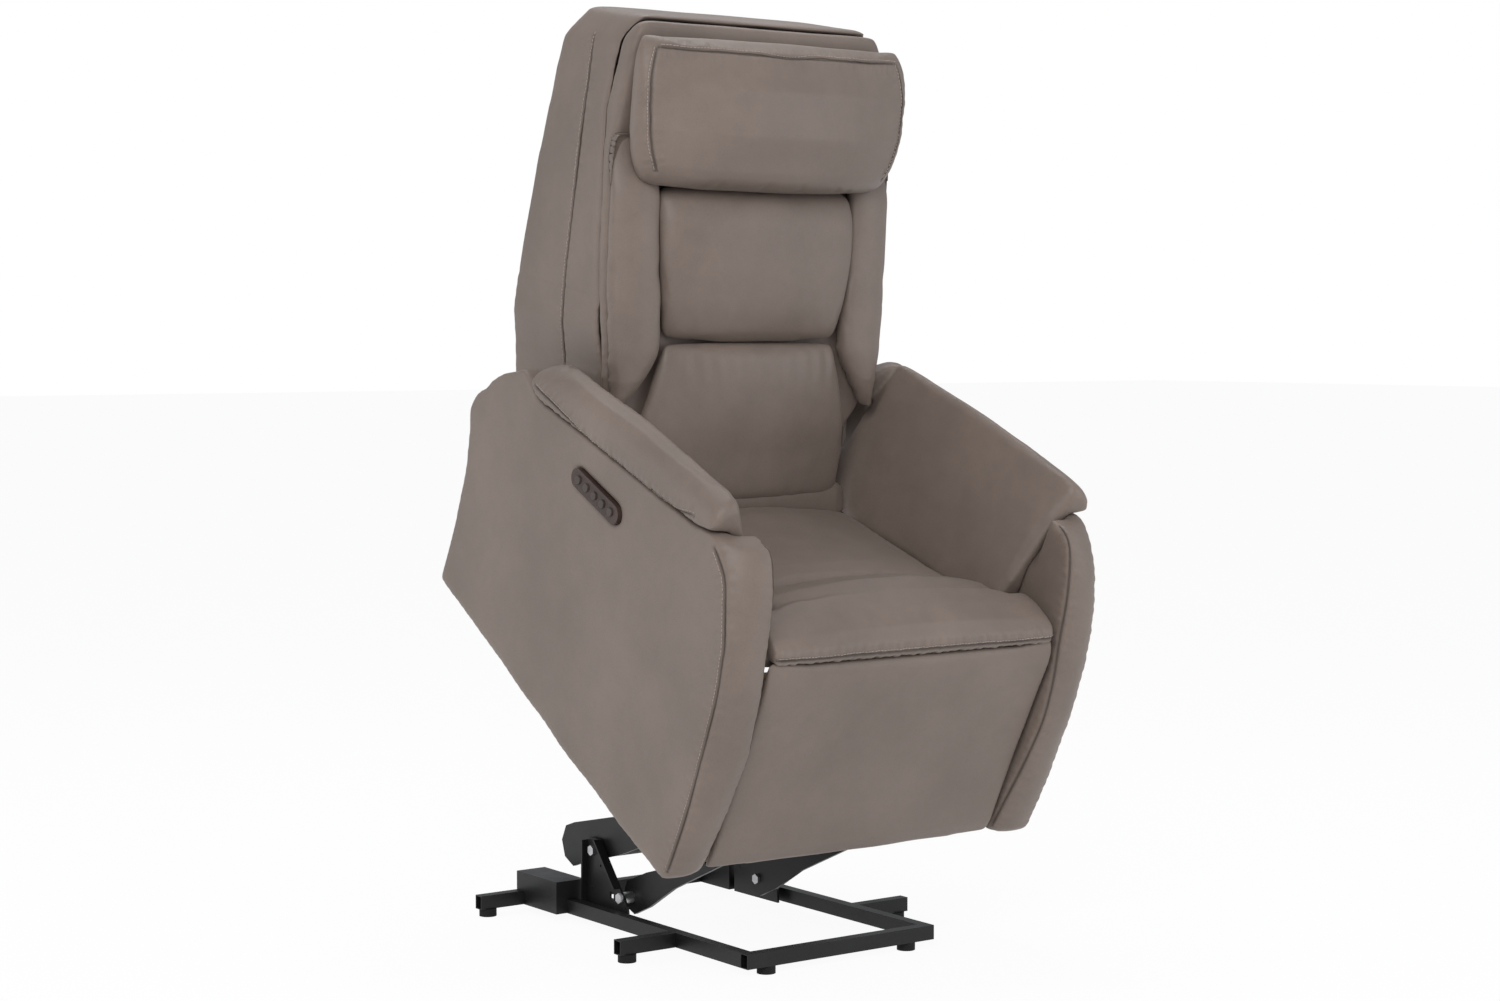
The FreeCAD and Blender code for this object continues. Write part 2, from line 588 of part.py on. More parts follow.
def make_links():
    """Upper links with the torque tube, lower links with their tie tube."""
    reach = "sqrt((pivot_a_y - pivot_c_y)^2 + (pivot_a_z - pivot_c_z)^2)"
    chamfer = "tail_radius * 0.41"
    upper = [
        (f"-({reach}) - eye_radius", "-eye_radius * 0.41"),
        (f"-({reach}) - eye_radius * 0.41", "-eye_radius"),
        ("-70", "-link_half - 3"),
        (f"tail_y - {chamfer}", "tail_z - tail_radius"),
        (f"tail_y + {chamfer}", "tail_z - tail_radius"),
        ("tail_y + tail_radius", f"tail_z - {chamfer}"),
        ("tail_y + tail_radius", f"tail_z + {chamfer}"),
        (f"tail_y + {chamfer}", "tail_z + tail_radius"),
        (f"tail_y - {chamfer}", "tail_z + tail_radius"),
        ("-67", "46"),
        ("-150", "link_half + 4"),
        (f"-({reach}) - eye_radius * 0.41", "eye_radius"),
        (f"-({reach}) - eye_radius", "eye_radius * 0.41"),
    ]
    lower = [
        ("-lower_link_length - eye_radius", "-eye_radius * 0.41"),
        ("-lower_link_length - eye_radius * 0.41", "-eye_radius"),
        ("-130", "-link_half"),
        ("-44", "-30"),
        ("6", "-30"),
        ("20", "-16"),
        ("20", "16"),
        ("6", "30"),
        ("-60", "28"),
        ("-130", "link_half"),
        ("-lower_link_length - eye_radius * 0.41", "eye_radius"),
        ("-lower_link_length - eye_radius", "eye_radius * 0.41"),
    ]
    origin = ("0", "0")
    for side, word in ((-1, "left"), (1, "right")):
        plate = plate_body(start_of(side, "upper_link_inner", "link_wall"), "link_wall", upper,
                           [(origin, "bolt_radius + pin_gap"),
                            ((f"-({reach})", "0"), "bolt_radius + pin_gap")])
        keep(plate, f"{word}_upper_link", UPPER)
        plate = plate_body(start_of(side, "lower_link_inner", "link_wall"), "link_wall", lower,
                           [(origin, "bolt_radius + pin_gap"),
                            (("-lower_link_length", "0"), "open_pin_radius + lift_drift"),
                            (("-tie_place", "0"), "tie_radius")])
        keep(plate, f"{word}_lower_link", LOWER)
    tie = cut(cylinder("-lower_link_inner - link_wall", ("-tie_place", "0"), "tie_radius",
                       "2 * (lower_link_inner + link_wall)"),
              [cylinder("-lower_link_inner - link_wall", ("-tie_place", "0"), "tie_radius - 2",
                        "2 * (lower_link_inner + link_wall)")])
    keep(tie, "link_tie_tube", LOWER)
    make_torque_tube()


def make_torque_tube():
    """The tube between the upper links, with two ears and the drive pin of the lift motor."""
    pin_y, pin_z = turned(value("drive_reach"), 0, value("drive_angle") - upper_angle)
    spot = ("torque_y", "torque_z")
    tube = cylinder("-upper_link_inner", spot, "torque_radius", "2 * upper_link_inner")
    pieces = [tube]
    pad_radius = "open_pin_radius + 6"
    for side in (-1, 1):
        start = f"lift_motor_x + {start_of(side, 'drive_eye_width / 2 + 1.5', 'ear_wall')}"
        ear = doc.addObject("Part::Feature", "Ear")
        ear.Shape = strap(value(start), value("ear_wall"), (value(spot[0]), value(spot[1])),
                          value("torque_radius"), (pin_y, pin_z), value(pad_radius))
        pieces.append(ear)
    span = "drive_eye_width + 3 + 2 * ear_wall"
    pieces.append(cylinder(f"lift_motor_x - ({span}) / 2", (str(pin_y), str(pin_z)), "open_pin_radius", span))
    bore = cylinder("-upper_link_inner - 1", spot, "torque_radius - torque_wall",
                    "2 * upper_link_inner + 2")
    keep(cut(fused(pieces), [bore]), "torque_tube", UPPER)


def strap(start, wall, spot_one, radius_one, spot_two, radius_two):
    """A plate round two circles of the YZ plane, with straight sides between them."""
    dy, dz = spot_two[0] - spot_one[0], spot_two[1] - spot_one[1]
    gap = math.hypot(dy, dz)
    heading = math.atan2(dz, dy)
    lean = math.acos((radius_one - radius_two) / gap)
    ends = []
    for sign in (1, -1):
        a = heading + sign * lean
        for spot, radius in ((spot_one, radius_one), (spot_two, radius_two)):
            ends.append(Vector(start, spot[0] + radius * math.cos(a), spot[1] + radius * math.sin(a)))
    back = Vector(start, spot_one[0] - radius_one * math.cos(heading),
                  spot_one[1] - radius_one * math.sin(heading))
    tip = Vector(start, spot_two[0] + radius_two * math.cos(heading),
                 spot_two[1] + radius_two * math.sin(heading))
    wire = Part.Wire([arc(ends[2], back, ends[0]), line(ends[0], ends[1]), arc(ends[1], tip, ends[3]),
                      line(ends[3], ends[2])])
    return Part.Face(wire).extrude(Vector(wall, 0, 0))


def make_actuator(prefix, frame, length, x_place, tube_radius, tube_end, rod_radius, eye_radius_text,
                  hidden, drift, can_radius_text, can_length_text, can_side):
    """A motor housing with its outer tube, and the push rod that slides in it."""
    line_at = (x_place, "0")
    eye = cylinder(f"{x_place} - drive_eye_width / 2", ("0", "0"), f"{eye_radius_text} - 1", "drive_eye_width")
    neck = block(f"{x_place} - drive_eye_width / 2", "drive_eye_width", "0", "22", "-9", "18")
    housing = block(f"{x_place} - {tube_radius} - 2", f"2 * {tube_radius} + 4", "18", "52",
                    f"-{tube_radius}", f"2 * {tube_radius}")
    tube = rod("40", line_at, tube_radius, f"{tube_end} - 40")
    can_x = f"{x_place} + {can_side} * ({tube_radius} + {can_radius_text} + 1)"
    can = rod("34", (can_x, "0"), can_radius_text, can_length_text)
    bridge = block(f"{x_place} + {min(0, can_side)} * ({tube_radius} + {can_radius_text})",
                   f"{tube_radius} + {can_radius_text}", "34", "30", "-12", "24")
    bore = rod("56", line_at, f"{rod_radius} + run_gap + 0.1", f"{tube_end} - 55")
    hole = cylinder(f"{x_place} - drive_eye_width", ("0", "0"), "bolt_radius + pin_gap",
                    "2 * drive_eye_width")
    keep(cut(fused([eye, neck, housing, tube, can, bridge]), [bore, hole]), f"{prefix}_motor", frame)
    end = str(length)
    shaft_start = f"{tube_end} - {hidden}"
    shaft = rod(shaft_start, line_at, rod_radius, f"{end} - ({shaft_start}) - {eye_radius_text} + 2")
    tip = cylinder(f"{x_place} - drive_eye_width / 2", (end, "0"), eye_radius_text, "drive_eye_width")
    tip_hole = cylinder(f"{x_place} - drive_eye_width", (end, "0"), f"open_pin_radius + {drift}",
                        "2 * drive_eye_width")
    keep(cut(fused([shaft, tip]), [tip_hole]), f"{prefix}_rod", frame)


def make_actuators():
    make_actuator("lift", LIFT, LIFT_LENGTH, "lift_motor_x", "lift_tube_radius", "lift_tube_end",
                  "lift_rod_radius", "lift_eye_radius", "lift_rod_hidden", "lift_drift", "can_radius",
                  "can_length", 1)
    make_actuator("recline", RECLINE, BACK_LENGTH, "back_motor_x", "back_tube_radius", "back_tube_end",
                  "back_rod_radius", "(back_rod_radius + 4)", "back_rod_hidden", "back_drift",
                  "back_can_radius", "120", -1)


def make_chassis():
    """Lift plates, cross tubes, mechanism plates, hinge brackets and boards of the seat."""
    under = "seat_tube_under"
    lift_outline = [
        ("pivot_d_y - eye_radius", "pivot_c_z - eye_radius + 5"),
        ("pivot_d_y - eye_radius + 5", "pivot_c_z - eye_radius"),
        ("pivot_c_y + eye_radius", "pivot_c_z - eye_radius"),
        ("pivot_c_y + eye_radius + 26", "clevis_tube_z"),
        ("front_tube_y + 25", "seat_tube_under - 86"),
        ("middle_tube_y + 45", "seat_tube_under - 38"),
        ("middle_tube_y + 45", under),
        ("front_tube_y - 15", under),
        ("pivot_c_y + 12", "clevis_tube_z + 100"),
        ("pivot_d_y - eye_radius", "clevis_tube_z + clevis_tube_height"),
    ]
    tube_at = ("clevis_tube_y + clevis_tube_depth / 2", "clevis_tube_z + clevis_tube_height / 2")
    plates = []
    for side in (-1, 1):
        start = start_of(side, "lift_plate_inner", "lift_plate_wall")
        plate = plate_body(start, "lift_plate_wall", lift_outline)
        upper_pin = cylinder(start_of(side, "lift_plate_inner", "upper_link_inner + link_wall - lift_plate_inner"),
                             ("pivot_c_y", "pivot_c_z"), "bolt_radius",
                             "upper_link_inner + link_wall - lift_plate_inner")
        upper_cap = cylinder(start_of(side, "upper_link_inner + link_wall + run_gap", "2"),
                             ("pivot_c_y", "pivot_c_z"), "bolt_radius + 4", "2")
        upper_end = cylinder(start_of(side, "upper_link_inner + link_wall", "1"),
                             ("pivot_c_y", "pivot_c_z"), "bolt_radius", "1")
        lower_pin = cylinder(start_of(side, "lower_link_inner", "lift_plate_inner - lower_link_inner"),
                             ("pivot_d_y", "pivot_c_z"), "open_pin_radius",
                             "lift_plate_inner - lower_link_inner")
        plates.append(fused([plate, upper_pin, upper_end, upper_cap, lower_pin]))
    keep(group(plates), "lift_plates", SEAT)
    make_clevis("clevis_tube", tube_body("YZ_Plane", "-lift_plate_inner", tube_at,
                                         ("clevis_tube_depth", "clevis_tube_height"), "2",
                                         "2 * lift_plate_inner"),
                "lift_motor_x", ("lift_motor_y", "lift_motor_z"), "clevis_tube_y + clevis_tube_depth")
    size = ("seat_tube_width", "seat_tube_height")
    height = "seat_tube_under + seat_tube_height / 2"
    front = tube_body("YZ_Plane", "-side_plate_inner", ("front_tube_y + seat_tube_width / 2", height), size,
                      "2", "2 * side_plate_inner")
    keep(front, "front_seat_tube", SEAT)
    middle = tube_body("YZ_Plane", "-side_plate_inner", ("middle_tube_y + seat_tube_width / 2", height), size,
                       "2", "2 * side_plate_inner")
    make_clevis("middle_seat_tube", middle, "back_motor_x", ("back_motor_y", "back_motor_z"),
                "middle_tube_y + seat_tube_width")
    rear = tube_body("YZ_Plane", "-side_plate_inner",
                     ("rear_tube_y + seat_tube_width / 2", "rear_tube_under + seat_tube_height / 2"), size,
                     "2", "2 * side_plate_inner")
    keep(rear, "rear_seat_tube", SEAT)
    make_side_plates()
    make_seat_board()
    make_boxes()


def make_clevis(label, tube, x_place, spot, face):
    """A cross tube with two ears and the pin that carries a motor."""
    pieces = [tube]
    for side in (-1, 1):
        start = f"{x_place} + {start_of(side, 'drive_eye_width / 2 + run_gap', 'ear_wall')}"
        pieces.append(plate_body(start, "ear_wall", [
            (face, f"{spot[1]} - 11"),
            (f"{spot[0]} + 6", f"{spot[1]} - 11"),
            (f"{spot[0]} + 11", f"{spot[1]} - 6"),
            (f"{spot[0]} + 11", f"{spot[1]} + 6"),
            (f"{spot[0]} + 6", f"{spot[1]} + 11"),
            (face, f"max({spot[1]} + 11; seat_tube_under + 8)" if "back" in x_place else f"{spot[1]} + 11"),
        ]))
    span = "drive_eye_width + 2 * run_gap + 2 * ear_wall"
    pieces.append(cylinder(f"{x_place} - ({span}) / 2", spot, "bolt_radius", span))
    keep(fused(pieces), label, SEAT)


def make_side_plates():
    """Mechanism plates with the footrest's guide slot, the hinge brackets and the spacers."""
    under = "seat_tube_under"
    top = "seat_tube_under + seat_tube_height - 3"
    rail = [
        ("arm_pivot_y - 18", "arm_pivot_z - 40"),
        ("front_tube_y - 55", "seat_tube_under - 40"),
        ("front_tube_y", under),
        ("rear_tube_y - 110", under),
        ("rear_tube_y", "rear_tube_under - 5"),
        ("rear_tube_y + seat_tube_width + 5", "rear_tube_under - 5"),
        ("rear_tube_y + seat_tube_width + 5", "rear_tube_under + seat_tube_height + 5"),
        ("rear_tube_y - 55", top),
        ("front_tube_y", top),
        ("arm_pivot_y + 18", "arm_pivot_z + 18"),
        ("arm_pivot_y - 18", "arm_pivot_z + 18"),
    ]
    slot_from = 164
    slot_turn = 71
    start_angle = math.radians(slot_from)
    end_angle = math.radians(slot_from + slot_turn)
    centre = ("slot_y", "slot_z")
    plates = []
    for side in (-1, 1):
        start = start_of(side, "side_plate_inner", "side_plate_wall")
        plate = plate_body(start, "side_plate_wall", rail)
        lobe = cut(sector(start, centre, "slot_radius + slot_half + 12", slot_from - 2, slot_turn + 6),
                   [cylinder(start, centre, "slot_radius - slot_half - 12", "side_plate_wall")])
        slot = cut(sector(start, centre, "slot_radius + slot_half", slot_from, slot_turn),
                   [cylinder(start, centre, "slot_radius - slot_half", "side_plate_wall")])
        ends = []
        for angle in (start_angle, end_angle):
            ends.append(cylinder(start, (f"slot_y + slot_radius * {math.cos(angle):.6f}",
                                         f"slot_z + slot_radius * {math.sin(angle):.6f}"),
                                 "slot_half", "side_plate_wall"))
        bearing = cylinder(start, ("arm_pivot_y", "arm_pivot_z"), "bolt_radius + 1 + pin_gap",
                           "side_plate_wall")
        plates.append(cut(fused([plate, lobe]), [slot, bearing] + ends))
    keep(group(plates), "mechanism_plates", SEAT)
    brackets = []
    for side in (-1, 1):
        start = start_of(side, "bracket_inner", "bracket_wall")
        brackets.append(plate_body(start, "bracket_wall", [
            ("back_y - 16", "back_z - 7"),
            ("rear_tube_y", "rear_tube_under + seat_tube_height"),
            ("rear_tube_y + seat_tube_width", "rear_tube_under + seat_tube_height"),
            ("back_y + 16", "back_z - 7"),
            ("back_y + 16", "back_z + 7"),
            ("back_y + 7", "back_z + 16"),
            ("back_y - 7", "back_z + 16"),
            ("back_y - 16", "back_z + 7"),
        ], [(("back_y", "back_z"), "hinge_radius + pin_gap")]))
    keep(group(brackets), "back_hinge_brackets", SEAT)
    spacers = []
    gap = "panel_inner - side_plate_inner - side_plate_wall"
    for side in (-1, 1):
        for spot in ("front_tube_y + seat_tube_width / 2", "middle_tube_y + seat_tube_width / 2",
                     "rear_tube_y - 80"):
            spacers.append(cylinder(start_of(side, "side_plate_inner + side_plate_wall", gap),
                                    (spot, "seat_tube_under + seat_tube_height / 2 - 2"), "10", gap))
    keep(group(spacers), "panel_spacers", SEAT)


def sector(start, centre, radius, first, turn):
    """A slice of a disc across X, from an angle of the YZ plane and through a turn."""
    item = cylinder(start, centre, radius, "side_plate_wall")
    item.Angle = turn
    upright = Rotation(Vector(0, 1, 0), Vector(0, 0, 1), Vector(1, 0, 0), "ZXY")
    item.Placement = Placement(item.Placement.Base, Rotation(Vector(1, 0, 0), first).multiply(upright))
    return item


def make_seat_board():
    """The wooden seat board with its raised front shelf."""
    low = "seat_tube_under + seat_tube_height"
    step = "arm_pivot_y + 37"
    keep(plate_body("-board_half", "2 * board_half", [
        (step, low),
        ("board_rear", low),
        ("board_rear", f"{low} + board_wall"),
        (f"{step} + board_wall", f"{low} + board_wall"),
        (f"{step} + board_wall", "shelf_under + shelf_wall"),
        ("-3", "shelf_under + shelf_wall"),
        ("-3", "shelf_under"),
        (step, "shelf_under"),
    ]), "seat_board", SEAT)


def make_boxes():
    """The footrest gear motor round the drive tube, and the power box under the seat."""
    gear = block("-120", "80", "arm_pivot_y - 26", "front_tube_y - arm_pivot_y + 26",
                 "seat_tube_under + 2", "seat_tube_height - 4")
    tower = block("-120", "80", "arm_pivot_y - 26", "52", "seat_tube_under + 2", "58")
    can = cylinder("-120 - 75", ("arm_pivot_y + 62", "seat_tube_under + 12"), "12", "76")
    bore = cylinder("-200", ("arm_pivot_y", "arm_pivot_z"), "drive_tube_radius + run_gap", "180")
    keep(cut(fused([gear, tower, can]), [bore]), "footrest_gear_motor", SEAT)
    box = block("-135", "120", "front_tube_y + seat_tube_width + 12", "90",
                "seat_tube_under + seat_tube_height - 34", "34")
    socket = block("-95", "28", "front_tube_y + seat_tube_width + 90", "13",
                   "seat_tube_under + seat_tube_height - 26", "18")
    keep(cut(box, [socket]), "power_box", SEAT)


def make_footrest():
    """Crossed arms, short links and carrier brackets that push the footrest out and up."""
    half = value("arm_length") / 2
    closed = math.radians(value("cross_angle"))
    g_spot = ("arm_pivot_y", "arm_pivot_z")
    j_low = ("arm_pivot_y", "arm_pivot_z - arm_length")
    mid = ("arm_pivot_y", "arm_pivot_z - arm_length / 2")
    mid_z = value(mid[1])
    j_top = (value("arm_pivot_y") - half * math.cos(closed), mid_z + half * math.sin(closed))
    g_low = (value("arm_pivot_y") + half * math.cos(closed), mid_z - half * math.sin(closed))
    h_spot = (j_top[0], j_top[1] - half)
    j_top, g_low, h_spot = [(f"{a:.4f}", f"{b:.4f}") for a, b in (j_top, g_low, h_spot)]
    hole = "bolt_radius - 1 + pin_gap"
    pin = "bolt_radius - 1"
    wall = "arm_wall"
    arms, crosses, links, brackets = [], [], [], []
    for side in (-1, 1):
        outer = start_of(side, "arm_inner", wall)
        inner = start_of(side, "cross_inner", wall)
        reach = "arm_inner + arm_wall - cross_inner"
        arm = bar_body(outer, wall, g_spot, j_low, "arm_half", [(j_low, hole)])
        stub = cylinder(start_of(side, "arm_inner + arm_wall", "side_plate_inner + side_plate_wall - arm_inner - arm_wall"),
                        g_spot, "bolt_radius + 1", "side_plate_inner + side_plate_wall - arm_inner - arm_wall")
        cross_pin = cylinder(start_of(side, "cross_inner", "arm_inner - cross_inner"), mid, pin,
                             "arm_inner - cross_inner")
        arms.append(fused([arm, stub, cross_pin]))
        cross = bar_body(inner, wall, j_top, g_low, "arm_half", [(mid, hole)])
        guide = cylinder(start_of(side, "cross_inner + arm_wall", "side_plate_inner + side_plate_wall - cross_inner - arm_wall"),
                         g_low, "slot_pin_radius", "side_plate_inner + side_plate_wall - cross_inner - arm_wall")
        top_pin = cylinder(start_of(side, "cross_inner + arm_wall", "arm_inner - cross_inner"), j_top, pin,
                           "arm_inner - cross_inner")
        crosses.append(fused([cross, guide, top_pin]))
        link = bar_body(inner, wall, j_low, h_spot, "arm_half", [])
        low_pin = cylinder(start_of(side, "cross_inner + arm_wall", "arm_inner - cross_inner"), j_low, pin,
                           "arm_inner - cross_inner")
        side_pin = cylinder(start_of(side, "cross_inner + arm_wall", "arm_inner - cross_inner"), h_spot, pin,
                            "arm_inner - cross_inner")
        links.append(fused([link, low_pin, side_pin]))
        carrier = plate_body(outer, wall, [
            ("foot_board_rear", f"{h_spot[1]} - 12"),
            (f"{h_spot[0]} + 6", f"{h_spot[1]} - 12"),
            (f"{h_spot[0]} + 12", f"{h_spot[1]} - 6"),
            (f"{j_top[0]} + 12", f"{j_top[1]} + 6"),
            (f"{j_top[0]} + 6", f"{j_top[1]} + 12"),
            ("foot_board_rear", f"{j_top[1]} + 12"),
        ], [(j_top, hole), (h_spot, hole)])
        brackets.append(carrier)
    keep(group(arms), "footrest_arms", SEAT)
    keep(group(crosses), "footrest_cross_arms", SEAT)
    keep(group(links), "footrest_links", SEAT)
    keep(group(brackets), "footrest_carriers", SEAT)
    tube = cut(cylinder("-arm_inner", g_spot, "drive_tube_radius", "2 * arm_inner"),
               [cylinder("-arm_inner", g_spot, "drive_tube_radius - 2", "2 * arm_inner")])
    keep(tube, "footrest_drive_tube", SEAT)
    board = block("-foot_pad_half + 9", "2 * foot_pad_half - 18", "foot_board_rear - foot_board_wall",
                  "foot_board_wall", "foot_pad_bottom + 10", "foot_pad_top - foot_pad_bottom - 30")
    keep(board_with_place(board), "footrest_board", SEAT)
    rear = value("foot_board_rear - foot_board_wall")
    front = value("foot_pad_front")
    crown = front - value("foot_pad_crown")
    bottom = value("foot_pad_bottom")
    top = value("foot_pad_top")
    wide = value("foot_pad_half")
    round_in = 10
    soft(loft([
        padded_section(bottom, wide - 6, rear, front + round_in, front + round_in - 2),
        padded_section(bottom + 8, wide - 1, rear, front + 5, crown + 5),
        padded_section(bottom + 30, wide, rear, front, crown + 1),
        padded_section((bottom + top) / 2, wide, rear, front, crown),
        padded_section(top - 34, wide, rear, front, crown + 1),
        padded_section(top - 9, wide - 2, rear, front + 7, crown + 7),
        padded_section(top, wide - 7, rear, front + round_in + 2, front + round_in),
    ]), "footrest_pad", SEAT)


def board_with_place(board):
    """A single box kept in a group, so that its own place stays in its own coordinates."""
    return group([board])


def back_front(z):
    """The padded core's front face: it leans back up to the shoulders."""
    return piecewise(z, [(0, -70), (250, -69), (560, -30), (800, -38)])


def back_groove(z):
    """The seam between the padded core and the rear shell."""
    return piecewise(z, [(0, -47), (209, -41), (439, -11), (646, 20), (760, 13), (800, -15)])


def back_half(z):
    """Half width of the back."""
    return piecewise(z, [(0, 213), (100, 218), (150, 230), (200, 243), (270, 270), (330, 288), (500, 288),
                         (750, 268), (800, 240)])


def piecewise(z, points):
    """The value at z of a line through points."""
    for (z1, v1), (z2, v2) in zip(points, points[1:]):
        if z <= z2:
            return v1 + (v2 - v1) * (z - z1) / (z2 - z1)
    return points[-1][1]


def make_back():
    """Steel frame with crank and hinge pins, core, cushions and the rear shell."""
    half = "frame_half"
    mid_y = "frame_front + frame_tube / 2"
    size = ("frame_tube", "frame_tube")
    pieces = []
    for side in (-1, 1):
        pieces.append(tube_body("XY_Plane", "-10", (f"{side} * (frame_half - frame_tube / 2)", mid_y), size,
                                "2", "frame_top + 10"))
        start = start_of(side, half, "ear_wall")
        pieces.append(plate_body(start, "ear_wall", [
            ("-14", "-8"), ("-8", "-14"), ("8", "-14"), ("frame_front + frame_tube", "-8"),
            ("frame_front + frame_tube", "90"), ("frame_front", "90"), ("-10", "12"), ("-14", "8"),
        ]))
        pin_reach = "bracket_inner + bracket_wall - frame_half - ear_wall"
        pieces.append(cylinder(start_of(side, f"{half} + ear_wall", pin_reach), ("0", "0"), "hinge_radius",
                               pin_reach))
    for foot in ("0", "300", "frame_top - frame_tube - 10"):
        pieces.append(tube_body("YZ_Plane", "-frame_half + frame_tube", (mid_y, f"{foot} + frame_tube / 2"),
                                size, "2", "2 * (frame_half - frame_tube)"))
    crank = turned(value("crank_reach"), 0, value("crank_angle + back_lean"))
    for side in (-1, 1):
        start = f"back_motor_x + {start_of(side, 'drive_eye_width / 2 + 1.5', 'ear_wall')}"
        ear = doc.addObject("Part::Feature", "Ear")
        ear.Shape = strap(value(start), value("ear_wall"), (value(mid_y), value("frame_tube / 2")),
                          value("frame_tube / 2"), crank, value("open_pin_radius + 5"))
        pieces.append(ear)
    span = "drive_eye_width + 3 + 2 * ear_wall"
    pieces.append(cylinder(f"back_motor_x - ({span}) / 2", (str(crank[0]), str(crank[1])), "open_pin_radius",
                           span))
    keep(fused(pieces), "back_frame", BACK)
    make_core_and_shell()
    make_back_cushions()
    make_headrest()


def make_core_and_shell():
    """The padded core between the cushions and the frame, and the hollow rear shell."""
    core = []
    for z in (0, 100, 209, 330, 439, 560, 646, 760, 790):
        front = back_front(z)
        rear = back_groove(z)
        core.append(padded_section(z, back_half(z) - 4, rear, front + 3, front, 3))
    soft(loft(core), "back_core", BACK)
    rear_line = [(62, 302), (145, 300), (271, 297), (450, 271.5), (627, 251), (747, 238), (792, 206)]
    foot = value("shell_foot")
    wall = value("shell_wall")
    top = value("back_top")
    side_gap = 0.5

    def shell_section(z, inset, front):
        wide = max(back_half(z) - 6, value("frame_half + ear_wall") + wall + 4) - inset
        depth = piecewise(z, rear_line) - inset
        shoulder = depth - 34
        return Part.Wire([
            line(Vector(-wide, front, z), Vector(wide, front, z)),
            line(Vector(wide, front, z), Vector(wide - 8, shoulder, z)),
            arc(Vector(wide - 8, shoulder, z), Vector(0, depth, z), Vector(8 - wide, shoulder, z)),
            line(Vector(8 - wide, shoulder, z), Vector(-wide, front, z)),
        ])

    levels = (foot, 145, 209, 271, 330, 439, 560, 646, 747, 760, 785, top)
    outer = loft([shell_section(z, 0, back_groove(z) + side_gap) for z in levels])
    inner_levels = (foot - 5, 145, 209, 271, 330, 439, 560, 646, 747, 760, top - wall)
    inner = loft([shell_section(z, wall, back_groove(z) - 5) for z in inner_levels])
    soft(outer.cut(inner), "back_shell", BACK)


def cushion(levels, rear_gap=0.3):
    """A crowned cushion on the core: each level is a height, half width, side depth and crown depth."""
    wires = []
    for z, wide, side, crown in levels:
        rear = back_front(z) - rear_gap
        wires.append(padded_section(z, wide, rear, min(side, rear - 3), crown))
    return loft(wires)


def make_back_cushions():
    """Lumbar and shoulder cushions, and the bolsters beside them."""
    soft(cushion([(2, 205, -78, -90), (14, 216, -88, -104), (70, 221, -92, -112), (130, 218, -94, -121),
                  (180, 200, -94, -122), (235, 182, -90, -116), (262, 174, -84, -100)]),
         "lumbar_cushion", BACK)
    soft(cushion([(268, 174, -82, -98), (284, 181, -88, -110), (330, 185, -92, -121), (400, 191, -90, -121),
                  (448, 196, -84, -110), (468, 198, -72, -88)]), "shoulder_cushion", BACK)
    bolsters = []
    for side in (-1, 1):
        wires = []
        for z, outer_gap in ((150, 4), (200, 1), (250, 0), (330, 0), (439, 0), (505, 3)):
            rear = back_front(z) - 0.3
            inner = piecewise(z, [(150, 214), (180, 204), (235, 185), (262, 183), (330, 189), (505, 203)])
            outer = back_half(z) + 5 - outer_gap
            depth = piecewise(z, [(150, 14), (200, 25), (439, 25), (505, 12)])
            front = rear - depth
            near = Vector(side * inner, rear, z)
            far = Vector(side * outer, rear, z)
            tip = Vector(side * (outer - 6), front + depth / 2, z)
            top = Vector(side * (inner + 4), front, z)
            crest = Vector(side * (inner + outer) / 2, front - 6, z)
            wires.append(Part.Wire([line(near, far), line(far, tip), arc(tip, crest, top), line(top, near)]))
        bolsters.append(loft(wires))
    soft(Part.makeCompound(bolsters), "side_bolsters", BACK)


def make_headrest():
    """A pillow on a hinged plate in front of the shoulders."""
    z = value("head_hinge_z")
    radius = value("head_hinge_radius")
    y = back_front(z) - radius - 0.5
    spot = (f"{y:.4f}", "head_hinge_z")
    pin_radius = "head_hinge_radius - 2.5"
    hinge_rod = cylinder("-head_half", spot, "head_hinge_radius", "2 * head_half")
    plate = block("-head_half", "2 * head_half", f"{y:.4f} - head_plate_wall / 2", "head_plate_wall",
                  "head_hinge_z", "200")
    knuckles = []
    holes = []
    for side in (-1, 1):
        knuckle = cylinder(start_of(side, "head_half + run_gap", "14"), spot, "head_hinge_radius + 0.2", "14")
        pin = cylinder(start_of(side, "head_half - 12", "13 + run_gap"), spot, pin_radius, "13 + run_gap")
        knuckles.append(fused([knuckle, pin]))
        holes.append(cylinder(start_of(side, "head_half - 13", "14"), spot, f"{pin_radius} + pin_gap", "14"))
    keep(cut(fused([hinge_rod, plate]), holes), "headrest_plate", BACK)
    keep(group(knuckles), "headrest_knuckles", BACK)
    levels = [(514, 236, 20, 44), (524, 254, 32, 78), (560, 274, 38, 92), (620, 284, 40, 101),
              (690, 284, 38, 90), (745, 281, 30, 56), (776, 272, 14, 22)]
    wires = []
    for height, wide, side_depth, crown_depth in levels:
        rear = y - value("head_plate_wall") / 2 - 4
        wires.append(padded_section(height, wide, rear, rear - side_depth, rear - crown_depth, 6))
    pillow = loft(wires)
    clear = Part.makeCylinder(radius + 0.6, 2 * value("head_half") + 34, Vector(-value("head_half") - 17, y, z),
                              Vector(1, 0, 0))
    soft(pillow.cut(clear), "headrest_pillow", BACK)


